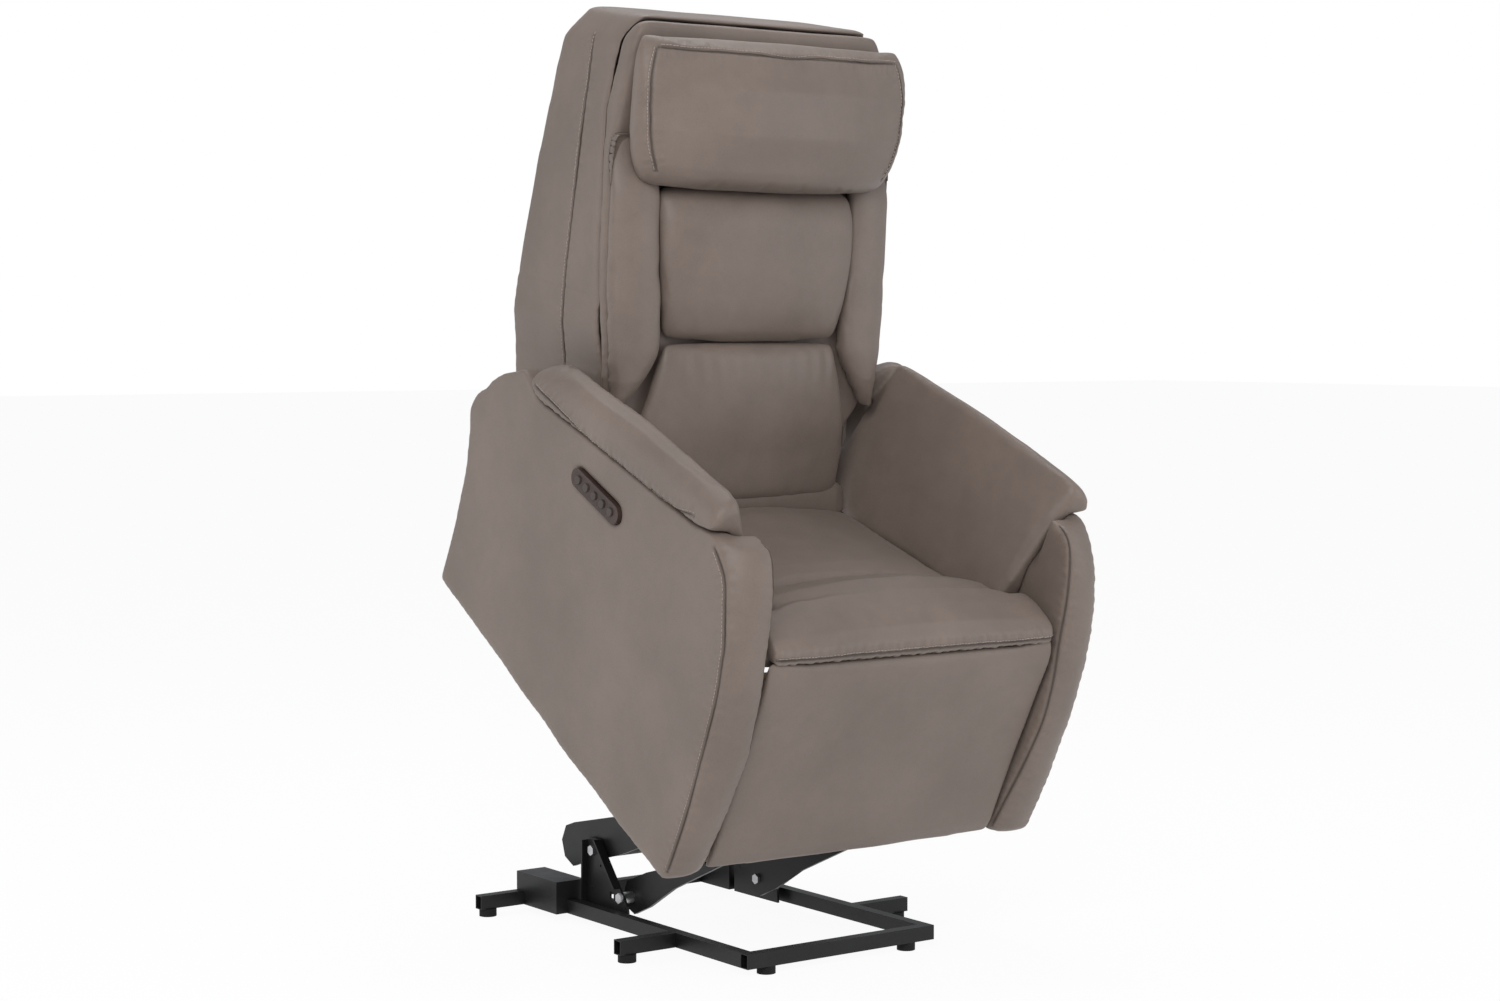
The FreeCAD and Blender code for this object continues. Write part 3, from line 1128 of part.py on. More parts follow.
def make_seat_cushions():
    """The seat cushion and the raised roll at its front, wider where it laps over the footrest."""
    wide = value("board_half") - 0.5
    low = value("seat_tube_under + seat_tube_height + board_wall")

    def seat_section(y, half, under, side_top, crown_top):
        return Part.Wire([
            line(Vector(-half + 4, y, under), Vector(half - 4, y, under)),
            arc(Vector(half - 4, y, under), Vector(half, y, (under + side_top) / 2),
                Vector(half - 4, y, side_top)),
            arc(Vector(half - 4, y, side_top), Vector(0, y, crown_top), Vector(4 - half, y, side_top)),
            arc(Vector(4 - half, y, side_top), Vector(-half, y, (under + side_top) / 2),
                Vector(4 - half, y, under)),
        ])

    rows = [(139, 438, 447), (160, 438, 456), (200, 430, 455), (300, 416, 442), (400, 402, 429),
            (446, 394, 418), (458, 388, 398)]
    soft(loft([seat_section(y, wide, low, side_top, crown) for y, side_top, crown in rows]),
         "seat_cushion", SEAT)
    lip_half = 290
    lip_under = value("foot_pad_top") + 6.5
    drape_front = 28
    lip = [(-74, lip_under, 452, 455), (-68, lip_under, 464, 470), (-45, lip_under, 475, 487),
           (-10, lip_under, 484, 499), (drape_front, lip_under, 485, 505)]
    roll = [(drape_front, lip_under, 485, 505), (70, lip_under, 477, 503), (110, lip_under, 460, 484),
            (130, lip_under, 447, 460), (138, lip_under, 438, 446)]
    front = loft([seat_section(y, lip_half, u, side_top, crown) for y, u, side_top, crown in lip])
    rear = loft([seat_section(y, wide, u, side_top, crown) for y, u, side_top, crown in roll])
    shelf_top = value("shelf_under + shelf_wall") + 0.2
    fill = Part.makeBox(2 * wide - 8, 138 + 3, lip_under - shelf_top + 1, Vector(4 - wide, -3, shelf_top))
    soft(front.fuse([rear, fill]).removeSplitter(), "front_seat_roll", SEAT)


# How much the inner side of the arm pad leans out, in X for each millimetre up
WEDGE_SLOPE = 0.473


def make_side_panels():
    """Upholstered side panels with a round front edge, and the pocket of the switch housing."""
    # Height, then depth of the inner seam, of the crown and of the outer seam of the round front edge
    front_rows = [(48, -58, -66, -66), (72, -71, -88, -81), (190, -88, -101, -83), (300, -97, -104, -78),
                  (400, -81, -92, -69), (453, -66, -80, -57), (500, -55, -66, -42), (549, -41, -46, -16),
                  (580, -29, -27, 12), (601, -15, -8, 45), (616, 3, 12, 80)]
    inner = value("panel_inner")
    outer = value("panel_outer")
    rear_y = 790
    for side, word in ((-1, "left"), (1, "right")):
        wires = []
        for z, y_in, y_crown, y_out in front_rows:
            a = Vector(side * inner, y_in, z)
            b = Vector(side * outer, y_out, z)
            crest = Vector(side * (inner + outer) / 2, min(y_crown, (y_in + y_out) / 2 - 4), z)
            c = Vector(side * outer, rear_y, z)
            d = Vector(side * inner, rear_y, z)
            wires.append(Part.Wire([arc(a, crest, b), line(b, c), line(c, d), line(d, a)]))
        block_shape = loft(wires)
        p = [Vector(side * (inner - 5), y, z) for y, z in (
            (-120, 48), (-75, 55), (67, 60.5), (276, 75), (502, 99), (738, 120), (738, 237), (747, 332),
            (766, 405), (775, 420), (750, 492), (729, 525), (704, 547), (650, 582), (617, 571), (578, 560),
            (111, 599), (50, 614), (-20, 612), (-120, 600))]
        edges = [line(p[k], p[k + 1]) for k in range(8)]
        edges.append(arc(p[8], p[9], p[10]))
        edges.append(arc(p[10], p[11], p[12]))
        edges += [line(p[k], p[(k + 1) % len(p)]) for k in range(12, len(p))]
        profile = Part.Face(Part.Wire(edges)).extrude(Vector(side * (outer - inner + 10), 0, 0))
        shape = block_shape.common(profile)
        low = value("wedge_foot")
        top = low + 200
        wedge = [Vector(side * x, value("pad_front"), z) for x, z in (
            (inner - 20, low), (inner, low), (inner + (top - low) * WEDGE_SLOPE, top), (inner - 20, top))]
        wedge_face = Part.Face(Part.makePolygon(wedge + wedge[:1]))
        shape = shape.cut(wedge_face.extrude(Vector(0, value("drape_rear - pad_front") + 1, 0)))
        if side < 0:
            shape = shape.cut(pill(value("switch_length / 2 + 0.5"), value("switch_height / 2 + 0.5"),
                                   -outer - 1, value("switch_depth") + 1))
        soft(shape, f"{word}_side_panel", SEAT)


def pill(half_length, half_height, start, depth):
    """A slab with round ends, on the line of the switch housing."""
    y = value("switch_y")
    z = value("switch_z")
    flat = half_length - half_height
    a = Vector(start, y - flat, z - half_height)
    b = Vector(start, y + flat, z - half_height)
    c = Vector(start, y + flat, z + half_height)
    d = Vector(start, y - flat, z + half_height)
    wire = Part.Wire([line(a, b), arc(b, Vector(start, y + half_length, z), c), line(c, d),
                      arc(d, Vector(start, y - half_length, z), a)])
    return Part.Face(wire).extrude(Vector(depth, 0, 0))


def make_arm_pads():
    """Padded arms, crowned over the panel, that drape down inside to the seat."""
    inner = value("panel_inner") - 0.5
    outer = value("panel_outer") + 6
    foot = value("drape_inner")
    ridge = 345
    gap = 0.3

    def top_of_panel(y):
        return piecewise(y, [(45, 615.4), (111, 599), (578, 560), (617, 571)]) + gap

    rows = [(46, 655, 410), (60, 668, 405), (90, 672, 405), (200, 671, 405), (310, 667, 392),
            (420, 656, 372), (542, 643, 372), (560, 637, 374)]
    for side, word in ((-1, "left"), (1, "right")):
        wires = []
        for y, top, low in rows:
            under = top_of_panel(y)
            a = Vector(side * outer, y, under)
            crest = Vector(side * ridge, y, top)
            shoulder = Vector(side * (outer - 7), y, under + (top - under) * 0.62)
            b = Vector(side * foot, y, low)
            slope = Vector(side * (ridge + foot - 16) / 2, y, (top + low) / 2 + 8)
            c = Vector(side * inner, y, low)
            d = Vector(side * inner, y, value("wedge_foot"))
            e = Vector(side * (inner + (under - d.z) * WEDGE_SLOPE), y, under)
            wires.append(Part.Wire([arc(a, shoulder, crest), arc(crest, slope, b), line(b, c), line(c, d),
                                    line(d, e), line(e, a)]))
        # Behind the drape the same section shrinks to the top of the panel
        for y, top in ((561.5, 636), (590, 623), (608, 608), (617, 594)):
            under = top_of_panel(y)
            tall = top - under
            a = Vector(side * outer, y, under)
            crest = Vector(side * ridge, y, top)
            shoulder = Vector(side * (outer - 7), y, under + tall * 0.62)
            b = Vector(side * (inner - 2), y, under + tall * 0.6)
            slope = Vector(side * (ridge + inner) / 2, y, under + tall * 0.86)
            c = Vector(side * (inner - 2), y, under + tall * 0.25)
            d = Vector(side * (inner - 1), y, under + tall * 0.08)
            e = Vector(side * (inner + 3), y, under)
            wires.append(Part.Wire([arc(a, shoulder, crest), arc(crest, slope, b), line(b, c), line(c, d),
                                    line(d, e), line(e, a)]))
        soft(loft(wires), f"{word}_arm_pad", SEAT)


def make_controls():
    """The switch housing in the left side panel, with a row of push buttons."""
    outer = value("panel_outer")
    depth = value("switch_depth")
    face = -outer - value("switch_proud")
    housing = pill(value("switch_length / 2"), value("switch_height / 2"), face,
                   depth + value("switch_proud") - 0.5)
    radius = value("button_radius")
    travel = value("button_travel")
    proud = value("button_proud")
    stem = 6
    gap = value("run_gap")
    for k in range(5):
        y = value("switch_y") + (k - 2) * value("button_pitch")
        z = value("switch_z")
        well = Part.makeCylinder(radius + gap, stem + travel + gap, Vector(face - 0.5, y, z), Vector(1, 0, 0))
        housing = housing.cut(well)
        cap = Part.makeCylinder(radius, proud + stem - 0.5, Vector(face - proud, y, z), Vector(1, 0, 0))
        rim = [edge for edge in cap.Edges if edge.Closed and abs(edge.CenterOfMass.x - face + proud) < 0.01]
        soft(cap.makeFillet(1.2, rim), f"button_{k + 1}", SEAT)
    soft(housing, "switch_housing", SEAT)


make_base()
make_links()
make_actuators()
make_chassis()
make_footrest()
make_back()
make_seat_cushions()
make_side_panels()
make_arm_pads()
make_controls()
doc.recompute()

for item in doc.Objects:
    if "Invalid" in item.State or "Error" in item.State:
        raise RuntimeError(f"{item.Label} failed: {item.State}")
labels = [item.Label for item in parts]
if len(set(labels)) != len(labels):
    raise RuntimeError("two pieces have the same name")
for item in parts:
    if item.Shape.isNull() or not item.Shape.isValid() or not item.Shape.Solids:
        raise RuntimeError(f"{item.Label} has no valid solid")

os.makedirs("parts", exist_ok=True)
for item in parts:
    item.Shape.exportStep(f"parts/{item.Label}.step")
print(len(parts), "pieces written")
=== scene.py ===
import json
import math

import bmesh
import bpy
import numpy as np
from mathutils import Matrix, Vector
from mathutils.bvhtree import BVHTree
from mathutils.kdtree import KDTree


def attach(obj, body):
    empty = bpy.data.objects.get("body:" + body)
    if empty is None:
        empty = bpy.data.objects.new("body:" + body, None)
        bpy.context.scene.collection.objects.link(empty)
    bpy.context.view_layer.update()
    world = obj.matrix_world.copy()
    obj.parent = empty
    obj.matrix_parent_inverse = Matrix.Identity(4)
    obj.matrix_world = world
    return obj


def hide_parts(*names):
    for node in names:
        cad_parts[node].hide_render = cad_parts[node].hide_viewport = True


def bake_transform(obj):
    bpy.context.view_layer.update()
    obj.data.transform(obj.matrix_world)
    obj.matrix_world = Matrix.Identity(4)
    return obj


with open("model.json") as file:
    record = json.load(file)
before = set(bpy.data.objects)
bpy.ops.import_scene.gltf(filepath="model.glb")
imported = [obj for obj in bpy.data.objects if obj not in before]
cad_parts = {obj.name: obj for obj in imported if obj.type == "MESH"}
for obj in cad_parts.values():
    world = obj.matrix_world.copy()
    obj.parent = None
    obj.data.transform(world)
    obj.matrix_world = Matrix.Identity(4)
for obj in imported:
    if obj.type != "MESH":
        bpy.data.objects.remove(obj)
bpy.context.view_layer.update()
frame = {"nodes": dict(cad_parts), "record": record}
scene = bpy.context.scene

# ---------------------------------------------------------------- frames of the chair
SEAT_TILT = math.radians(27)
SEAT_ORIGIN = (-0.15829, 0.16669)
BACK_TILT = math.radians(10)
BACK_ORIGIN = (0.15908, 0.77733)


def placed(points, origin, tilt):
    """Points of a tilted frame, in the row frame."""
    p = np.asarray(points, float)
    y, z = p[:, 1], p[:, 2]
    return np.column_stack((
        p[:, 0],
        origin[0] + y * math.cos(tilt) - z * math.sin(tilt),
        origin[1] + y * math.sin(tilt) + z * math.cos(tilt),
    ))


def local(points, origin, tilt):
    """Points of the row frame, in a tilted frame."""
    p = np.asarray(points, float)
    y, z = p[:, 1] - origin[0], p[:, 2] - origin[1]
    return np.column_stack((
        p[:, 0],
        y * math.cos(tilt) + z * math.sin(tilt),
        -y * math.sin(tilt) + z * math.cos(tilt),
    ))


def seat(points):
    return placed(points, SEAT_ORIGIN, SEAT_TILT)


def back(points):
    return placed(points, BACK_ORIGIN, BACK_TILT)


def at_x(x, pairs):
    return [(x, y, z) for y, z in pairs]


# ---------------------------------------------------------------- camera
camera = bpy.data.objects.new("camera", bpy.data.cameras.new("camera"))
scene.collection.objects.link(camera)
camera.data.lens = 66.54
camera.data.sensor_width = 36
camera.location = (-2.7875, -3.8031, 1.0401)
camera.rotation_euler = (math.radians(90 - 3.469), 0, math.radians(-35.996))
scene.camera = camera
scene.view_settings.view_transform = "Standard"


# ---------------------------------------------------------------- materials
def node(tree, kind, **values):
    made = tree.nodes.new(kind)
    for key, value in values.items():
        if key in made.inputs:
            made.inputs[key].default_value = value
        else:
            setattr(made, key, value)
    return made


def ramp(tree, source, low, high, dark, light):
    """A colour or a number that runs between two values as the source goes from low to high."""
    made = tree.nodes.new("ShaderNodeValToRGB")
    made.color_ramp.elements[0].position = low
    made.color_ramp.elements[0].color = (*dark, 1)
    made.color_ramp.elements[1].position = high
    made.color_ramp.elements[1].color = (*light, 1)
    tree.links.new(source, made.inputs["Fac"])
    return made.outputs["Color"]


def grey(value):
    return (value, value, value)


def start(name):
    made = bpy.data.materials.new(name)
    made.use_nodes = True
    tree = made.node_tree
    shader = tree.nodes["Principled BSDF"]
    place = tree.nodes.new("ShaderNodeTexCoord").outputs["Object"]
    return made, tree, shader, place


def multiplied(tree, a, b):
    made = tree.nodes.new("ShaderNodeMix")
    made.data_type = "RGBA"
    made.blend_type = "MULTIPLY"
    made.inputs["Factor"].default_value = 1
    tree.links.new(a, made.inputs["A"])
    tree.links.new(b, made.inputs["B"])
    return made.outputs["Result"]


def bumped(tree, shader, heights):
    """Bumps in a row, each (height, strength, distance in metres)."""
    last = None
    for height, strength, distance in heights:
        made = tree.nodes.new("ShaderNodeBump")
        made.inputs["Strength"].default_value = strength
        made.inputs["Distance"].default_value = distance
        tree.links.new(height, made.inputs["Height"])
        if last is not None:
            tree.links.new(last, made.inputs["Normal"])
        last = made.outputs["Normal"]
    tree.links.new(last, shader.inputs["Normal"])


def noise(tree, place, scale, detail=3, rough=0.5):
    made = node(tree, "ShaderNodeTexNoise", Scale=scale, Detail=detail, Roughness=rough)
    tree.links.new(place, made.inputs["Vector"])
    return made.outputs["Fac"]


def leather(name, colour, dull=0.0):
    made, tree, shader, place = start(name)
    warp = tree.nodes.new("ShaderNodeTexNoise")
    warp.inputs["Scale"].default_value = 90
    tree.links.new(place, warp.inputs["Vector"])
    bent = tree.nodes.new("ShaderNodeVectorMath")
    bent.operation = "MULTIPLY_ADD"
    bent.inputs[1].default_value = (0.0022, 0.0022, 0.0022)
    tree.links.new(warp.outputs["Color"], bent.inputs[0])
    tree.links.new(place, bent.inputs[2])
    cells = tree.nodes.new("ShaderNodeTexVoronoi")
    cells.feature = "DISTANCE_TO_EDGE"
    cells.inputs["Scale"].default_value = 520
    tree.links.new(bent.outputs["Vector"], cells.inputs["Vector"])
    pebble = ramp(tree, cells.outputs["Distance"], 0.0, 0.32, grey(0), grey(1))
    broad = noise(tree, place, 5.5, 4, 0.55)
    middle = noise(tree, place, 38, 5, 0.6)
    fine = noise(tree, place, 900, 2, 0.5)
    deep = tuple(c * 0.88 for c in colour)
    pale = tuple(c * 1.09 for c in colour)
    tone = ramp(tree, broad, 0.3, 0.72, deep, pale)
    mottle = ramp(tree, middle, 0.25, 0.75, grey(0.93), grey(1.04))
    grain = ramp(tree, cells.outputs["Distance"], 0.0, 0.2, grey(0.86), grey(1.0))
    # Darker along each seam groove, read from the seam attribute: painted shade.
    seam = tree.nodes.new("ShaderNodeAttribute")
    seam.attribute_name = "seam"
    painted_seam_shade = ramp(tree, seam.outputs["Fac"], 0.0, 1.0, grey(1.0), grey(0.42))
    # Darker in hollows as painted shade, and lighter on rounded edges as a painted highlight.
    shape = tree.nodes.new("ShaderNodeNewGeometry")
    painted_hollow_shade_edge_light = ramp(tree, shape.outputs["Pointiness"], 0.47, 0.56, grey(0.9), grey(1.07))
    mixed = multiplied(tree, tone, mottle)
    mixed = multiplied(tree, mixed, grain)
    mixed = multiplied(tree, mixed, painted_seam_shade)
    mixed = multiplied(tree, mixed, painted_hollow_shade_edge_light)
    tree.links.new(mixed, shader.inputs["Base Color"])
    gloss = ramp(tree, middle, 0.2, 0.8, grey(0.40 + dull), grey(0.55 + dull))
    tree.links.new(gloss, shader.inputs["Roughness"])
    shader.inputs["Specular IOR Level"].default_value = 0.42
    shader.inputs["Sheen Weight"].default_value = 0.04
    bumped(tree, shader, [
        (broad, 0.25, 0.004), (pebble, 0.22, 0.0003), (fine, 0.12, 0.0002),
    ])
    return made


def coated(name, colour, rough, scale, strength, edge_highlight=1.5):
    """Powder coat or moulded plastic: fine texture, uneven gloss, and edges lightened as a painted
    highlight.
    """
    made, tree, shader, place = start(name)
    peel = noise(tree, place, scale, 2)
    cloud = noise(tree, place, 14, 4, 0.6)
    deep, pale = tuple(c * 0.8 for c in colour), tuple(c * 1.25 for c in colour)
    tone = ramp(tree, cloud, 0.3, 0.75, deep, pale)
    # Sharp edges lightened by the last argument: a painted highlight.
    shape = tree.nodes.new("ShaderNodeNewGeometry")
    edge = ramp(tree, shape.outputs["Pointiness"], 0.52, 0.62, grey(1.0), grey(edge_highlight))
    tree.links.new(multiplied(tree, tone, edge), shader.inputs["Base Color"])
    gloss = ramp(tree, cloud, 0.2, 0.8, grey(rough - 0.07), grey(rough + 0.08))
    tree.links.new(gloss, shader.inputs["Roughness"])
    shader.inputs["Specular IOR Level"].default_value = 0.28
    bumped(tree, shader, [(peel, strength, 0.0003)])
    return made


def metal(name, colour, rough):
    made, tree, shader, place = start(name)
    scratch = tree.nodes.new("ShaderNodeMapping")
    scratch.inputs["Scale"].default_value = (1, 1, 9)
    tree.links.new(place, scratch.inputs["Vector"])
    lines = noise(tree, scratch.outputs["Vector"], 260, 4, 0.6)
    cloud = noise(tree, place, 60, 3)
    tone = ramp(tree, cloud, 0.3, 0.7, tuple(c * 0.82 for c in colour), colour)
    tree.links.new(tone, shader.inputs["Base Color"])
    gloss = ramp(tree, lines, 0.2, 0.8, grey(rough - 0.08), grey(rough + 0.12))
    tree.links.new(gloss, shader.inputs["Roughness"])
    shader.inputs["Metallic"].default_value = 1
    bumped(tree, shader, [(lines, 0.08, 0.0002)])
    return made


def plywood(name):
    made, tree, shader, place = start(name)
    rings = tree.nodes.new("ShaderNodeTexWave")
    rings.inputs["Scale"].default_value = 7
    rings.inputs["Distortion"].default_value = 9
    rings.inputs["Detail"].default_value = 3
    tree.links.new(place, rings.inputs["Vector"])
    fibre = noise(tree, place, 240, 4)
    tone = ramp(tree, rings.outputs["Fac"], 0.0, 1.0, (0.44, 0.30, 0.17), (0.50, 0.35, 0.21))
    speck = ramp(tree, fibre, 0.3, 0.7, grey(0.85), grey(1.05))
    tree.links.new(multiplied(tree, tone, speck), shader.inputs["Base Color"])
    tree.links.new(ramp(tree, fibre, 0.2, 0.8, grey(0.55), grey(0.75)), shader.inputs["Roughness"])
    bumped(tree, shader, [(fibre, 0.2, 0.0004)])
    return made


COVER = (0.205, 0.160, 0.135)
cover = leather("cover_leather", COVER)
cover_back = leather("cover_leather_back", COVER, 0.03)
thread = coated("sewing_thread", (0.30, 0.25, 0.225), 0.7, 2600, 0.5)
hollow = coated("seam_shadow", (0.075, 0.058, 0.049), 0.8, 1500, 0.2)
FINISHES = {
    "frame_black": coated("powder_coat_black", (0.006, 0.006, 0.0065), 0.4, 1100, 0.18, 2.0),
    "bolt_silver": metal("zinc_plate", (0.62, 0.62, 0.64), 0.32),
    "rod_steel": metal("polished_rod", (0.7, 0.7, 0.72), 0.2),
    "motor_black": coated("moulded_black", (0.008, 0.008, 0.0085), 0.5, 1600, 0.25, 1.8),
    "foot_rubber": coated("rubber_black", (0.007, 0.007, 0.007), 0.75, 500, 0.35, 1.3),
    "board_wood": plywood("seat_board_wood"),
    "switch_plate": coated("switch_plastic", (0.035, 0.022, 0.018), 0.28, 2200, 0.1, 1.6),
    "button_plastic": coated("button_plastic_dark", (0.06, 0.045, 0.04), 0.36, 2200, 0.1, 1.8),
    "cover": cover,
}


# ---------------------------------------------------------------- mesh helpers
def vertices(mesh):
    co = np.empty(len(mesh.vertices) * 3)
    mesh.vertices.foreach_get("co", co)
    return co.reshape(-1, 3)


def normals(mesh):
    co = np.empty(len(mesh.vertices) * 3, np.float32)
    mesh.vertex_normals.foreach_get("vector", co)
    return co.reshape(-1, 3).astype(float)


def move_to(mesh, co):
    mesh.vertices.foreach_set("co", np.asarray(co, np.float32).ravel())
    mesh.update()


def edges_of(mesh):
    pairs = np.empty(len(mesh.edges) * 2, np.int32)
    mesh.edges.foreach_get("vertices", pairs)
    return pairs.reshape(-1, 2)


def relaxed(co, pairs, rounds, share=0.5):
    a, b = pairs.T
    n = len(co)
    count = np.bincount(pairs.ravel(), minlength=n)[:, None]
    for _ in range(rounds):
        total = np.column_stack([
            np.bincount(a, co[b, k], n) + np.bincount(b, co[a, k], n) for k in range(3)
        ])
        co = co + share * (total / count - co)
    return co


def evaluated(obj):
    graph = bpy.context.evaluated_depsgraph_get()
    return bpy.data.meshes.new_from_object(obj.evaluated_get(graph))


def applied(obj):
    """Takes the modifiers' result as the object's mesh."""
    mesh = evaluated(obj)
    obj.modifiers.clear()
    obj.data = mesh


def linked(name, mesh):
    obj = bpy.data.objects.new(name, mesh)
    scene.collection.objects.link(obj)
    return obj


def ripple(co, size, seed):
    """Smooth noise from a few fixed waves, from -1 to 1, with features of about the size."""
    rng = np.random.default_rng(seed)
    total = np.zeros(len(co))
    for _ in range(7):
        way = rng.normal(size=3)
        way *= rng.uniform(0.6, 1.5) * 2 * math.pi / (size * 2 * np.linalg.norm(way))
        total += np.sin(co @ way + rng.uniform(0, 6.28))
    return total / 4


def ring_faces(rings, sides):
    """The faces of a closed tube of rings, with a cap at each end."""
    faces = []
    for r in range(rings - 1):
        for k in range(sides):
            n = (k + 1) % sides
            faces.append((r * sides + k, r * sides + n, (r + 1) * sides + n, (r + 1) * sides + k))
    faces.append(tuple(reversed(range(sides))))
    faces.append(tuple((rings - 1) * sides + k for k in range(sides)))
    return faces


# ---------------------------------------------------------------- soft pieces
FRAMES = 20
SEAM_STEP = 0.002
GROOVE_WIDTH = 0.004
PUCKER_WAVE = 0.017
STITCH_PITCH, STITCH_LENGTH, STITCH_RADIUS, STITCH_SIDES = 0.0062, 0.0045, 0.00055, 6
CORD_RADIUS, CORD_SINK, CORD_STEP, CORD_SIDES = 0.0011, 0.0003, 0.003, 6
soft_pieces = {}


def begin(name, cad, body, voxel, inset, rounds, pressure, fill, skin=None, place=None):
    """A soft piece from the space of its CAD solid: remeshed, drawn in and rounded."""
    bm = bmesh.new()
    bm.from_mesh(frame["nodes"][cad].data)
    bmesh.ops.remove_doubles(bm, verts=bm.verts, dist=2e-5)
    bmesh.ops.triangulate(bm, faces=bm.faces)
    mesh = bpy.data.meshes.new(name)
    bm.to_mesh(mesh)
    walls = BVHTree.FromBMesh(bm)
    bm.free()
    obj = linked(name, mesh)
    change = obj.modifiers.new("voxels", "REMESH")
    change.mode = "VOXEL"
    change.voxel_size = voxel
    applied(obj)
    co = vertices(obj.data)
    pairs = edges_of(obj.data)
    if place:
        before = local(co, *place)
        after = local(relaxed(co, pairs, rounds), *place)
        low, high = after.min(0), after.max(0)
        span = (before.max(0) - before.min(0)) / (high - low)
        middle = (before.max(0) + before.min(0)) / 2
        co = placed((after - (low + high) / 2) * span + middle, *place)
    else:
        co = relaxed(co, pairs, rounds)
    move_to(obj.data, co)
    move_to(obj.data, co - normals(obj.data) * inset)
    soft_pieces[name] = {
        "obj": obj, "walls": walls, "cad": cad, "body": body, "pressure": pressure,
        "fill": fill, "skin": skin or cover, "start": vertices(obj.data),
    }


def simulate():
    """Inflates all the pieces that have pressure, in one run."""
    for piece in soft_pieces.values():
        if not piece["pressure"]:
            continue
        cloth = piece["obj"].modifiers.new("air", "CLOTH")
        cloth.settings.quality = 3
        cloth.settings.use_pressure = True
        cloth.settings.uniform_pressure_force = piece["pressure"]
        cloth.settings.effector_weights.gravity = 0
        cloth.settings.tension_stiffness = 12
        cloth.settings.compression_stiffness = 12
        cloth.settings.bending_stiffness = 1.5
        cloth.collision_settings.use_collision = False
        cloth.point_cache.frame_end = FRAMES
    for number in range(1, FRAMES + 1):
        scene.frame_set(number)
        bpy.context.view_layer.update()
    for piece in soft_pieces.values():
        if piece["pressure"]:
            applied(piece["obj"])
    scene.frame_set(1)


def kept_in(piece, cap, proud):
    """Caps how far the points moved, and holds them in the space of the CAD solid."""
    mesh = piece["obj"].data
    co = vertices(mesh)
    way = co - piece["start"]
    far = np.linalg.norm(way, axis=1)
    share = np.minimum(1, cap / np.maximum(far, 1e-9))
    co = piece["start"] + way * share[:, None]
    held = np.empty_like(co)
    for i, p in enumerate(co):
        spot, out, _, gap = piece["walls"].find_nearest(Vector(p))
        if (Vector(p) - spot).dot(out) > 0 and gap > proud:
            held[i] = spot + (Vector(p) - spot).normalized() * proud
        else:
            held[i] = p
    move_to(mesh, relaxed(held, edges_of(mesh), 2, 0.4))


def finer(obj):
    change = obj.modifiers.new("finer", "SUBSURF")
    change.levels = change.render_levels = 1
    applied(obj)


def smooth_line(points, step=SEAM_STEP):
    """A Catmull-Rom line through the points, with steps of about one length."""
    p = np.asarray(points, float)
    p = np.vstack((2 * p[0] - p[1], p, 2 * p[-1] - p[-2]))
    out = []
    for i in range(1, len(p) - 2):
        n = max(1, int(np.linalg.norm(p[i + 1] - p[i]) / step))
        for t in np.arange(n) / n:
            a = 2 * p[i]
            b = (p[i + 1] - p[i - 1]) * t
            c = (2 * p[i - 1] - 5 * p[i] + 4 * p[i + 1] - p[i + 2]) * t * t
            d = (3 * p[i] - p[i - 1] - 3 * p[i + 1] + p[i + 2]) * t ** 3
            out.append((a + b + c + d) / 2)
    out.append(p[-2])
    return np.array(out)


def evened(line, reach):
    """The line with each point at the mean of its neighbours, its ends kept."""
    wide = np.vstack((np.repeat(line[:1], reach, 0), line, np.repeat(line[-1:], reach, 0)))
    share = np.ones(2 * reach + 1) / (2 * reach + 1)
    out = np.column_stack([np.convolve(wide[:, k], share, "valid") for k in range(3)])
    out[0], out[-1] = line[0], line[-1]
    return out


def on_surface(tree, line):
    """The line laid on a surface, with its normals."""
    spots = np.empty_like(line)
    outs = np.empty_like(line)
    for turn in range(2):
        for i, p in enumerate(line):
            spot, out, _, _ = tree.find_nearest(Vector(p))
            spots[i], outs[i] = spot, out
        if turn == 0 and len(line) > 30:
            line = evened(spots, 9)
    outs = evened(outs, 5) if len(line) > 30 else outs
    return spots, outs / np.linalg.norm(outs, axis=1)[:, None]


def surface_tree(mesh):
    mesh.calc_loop_triangles()
    corners = np.empty(len(mesh.loop_triangles) * 3, np.int32)
    mesh.loop_triangles.foreach_get("vertices", corners)
    return BVHTree.FromPolygons(vertices(mesh).tolist(), corners.reshape(-1, 3).tolist())


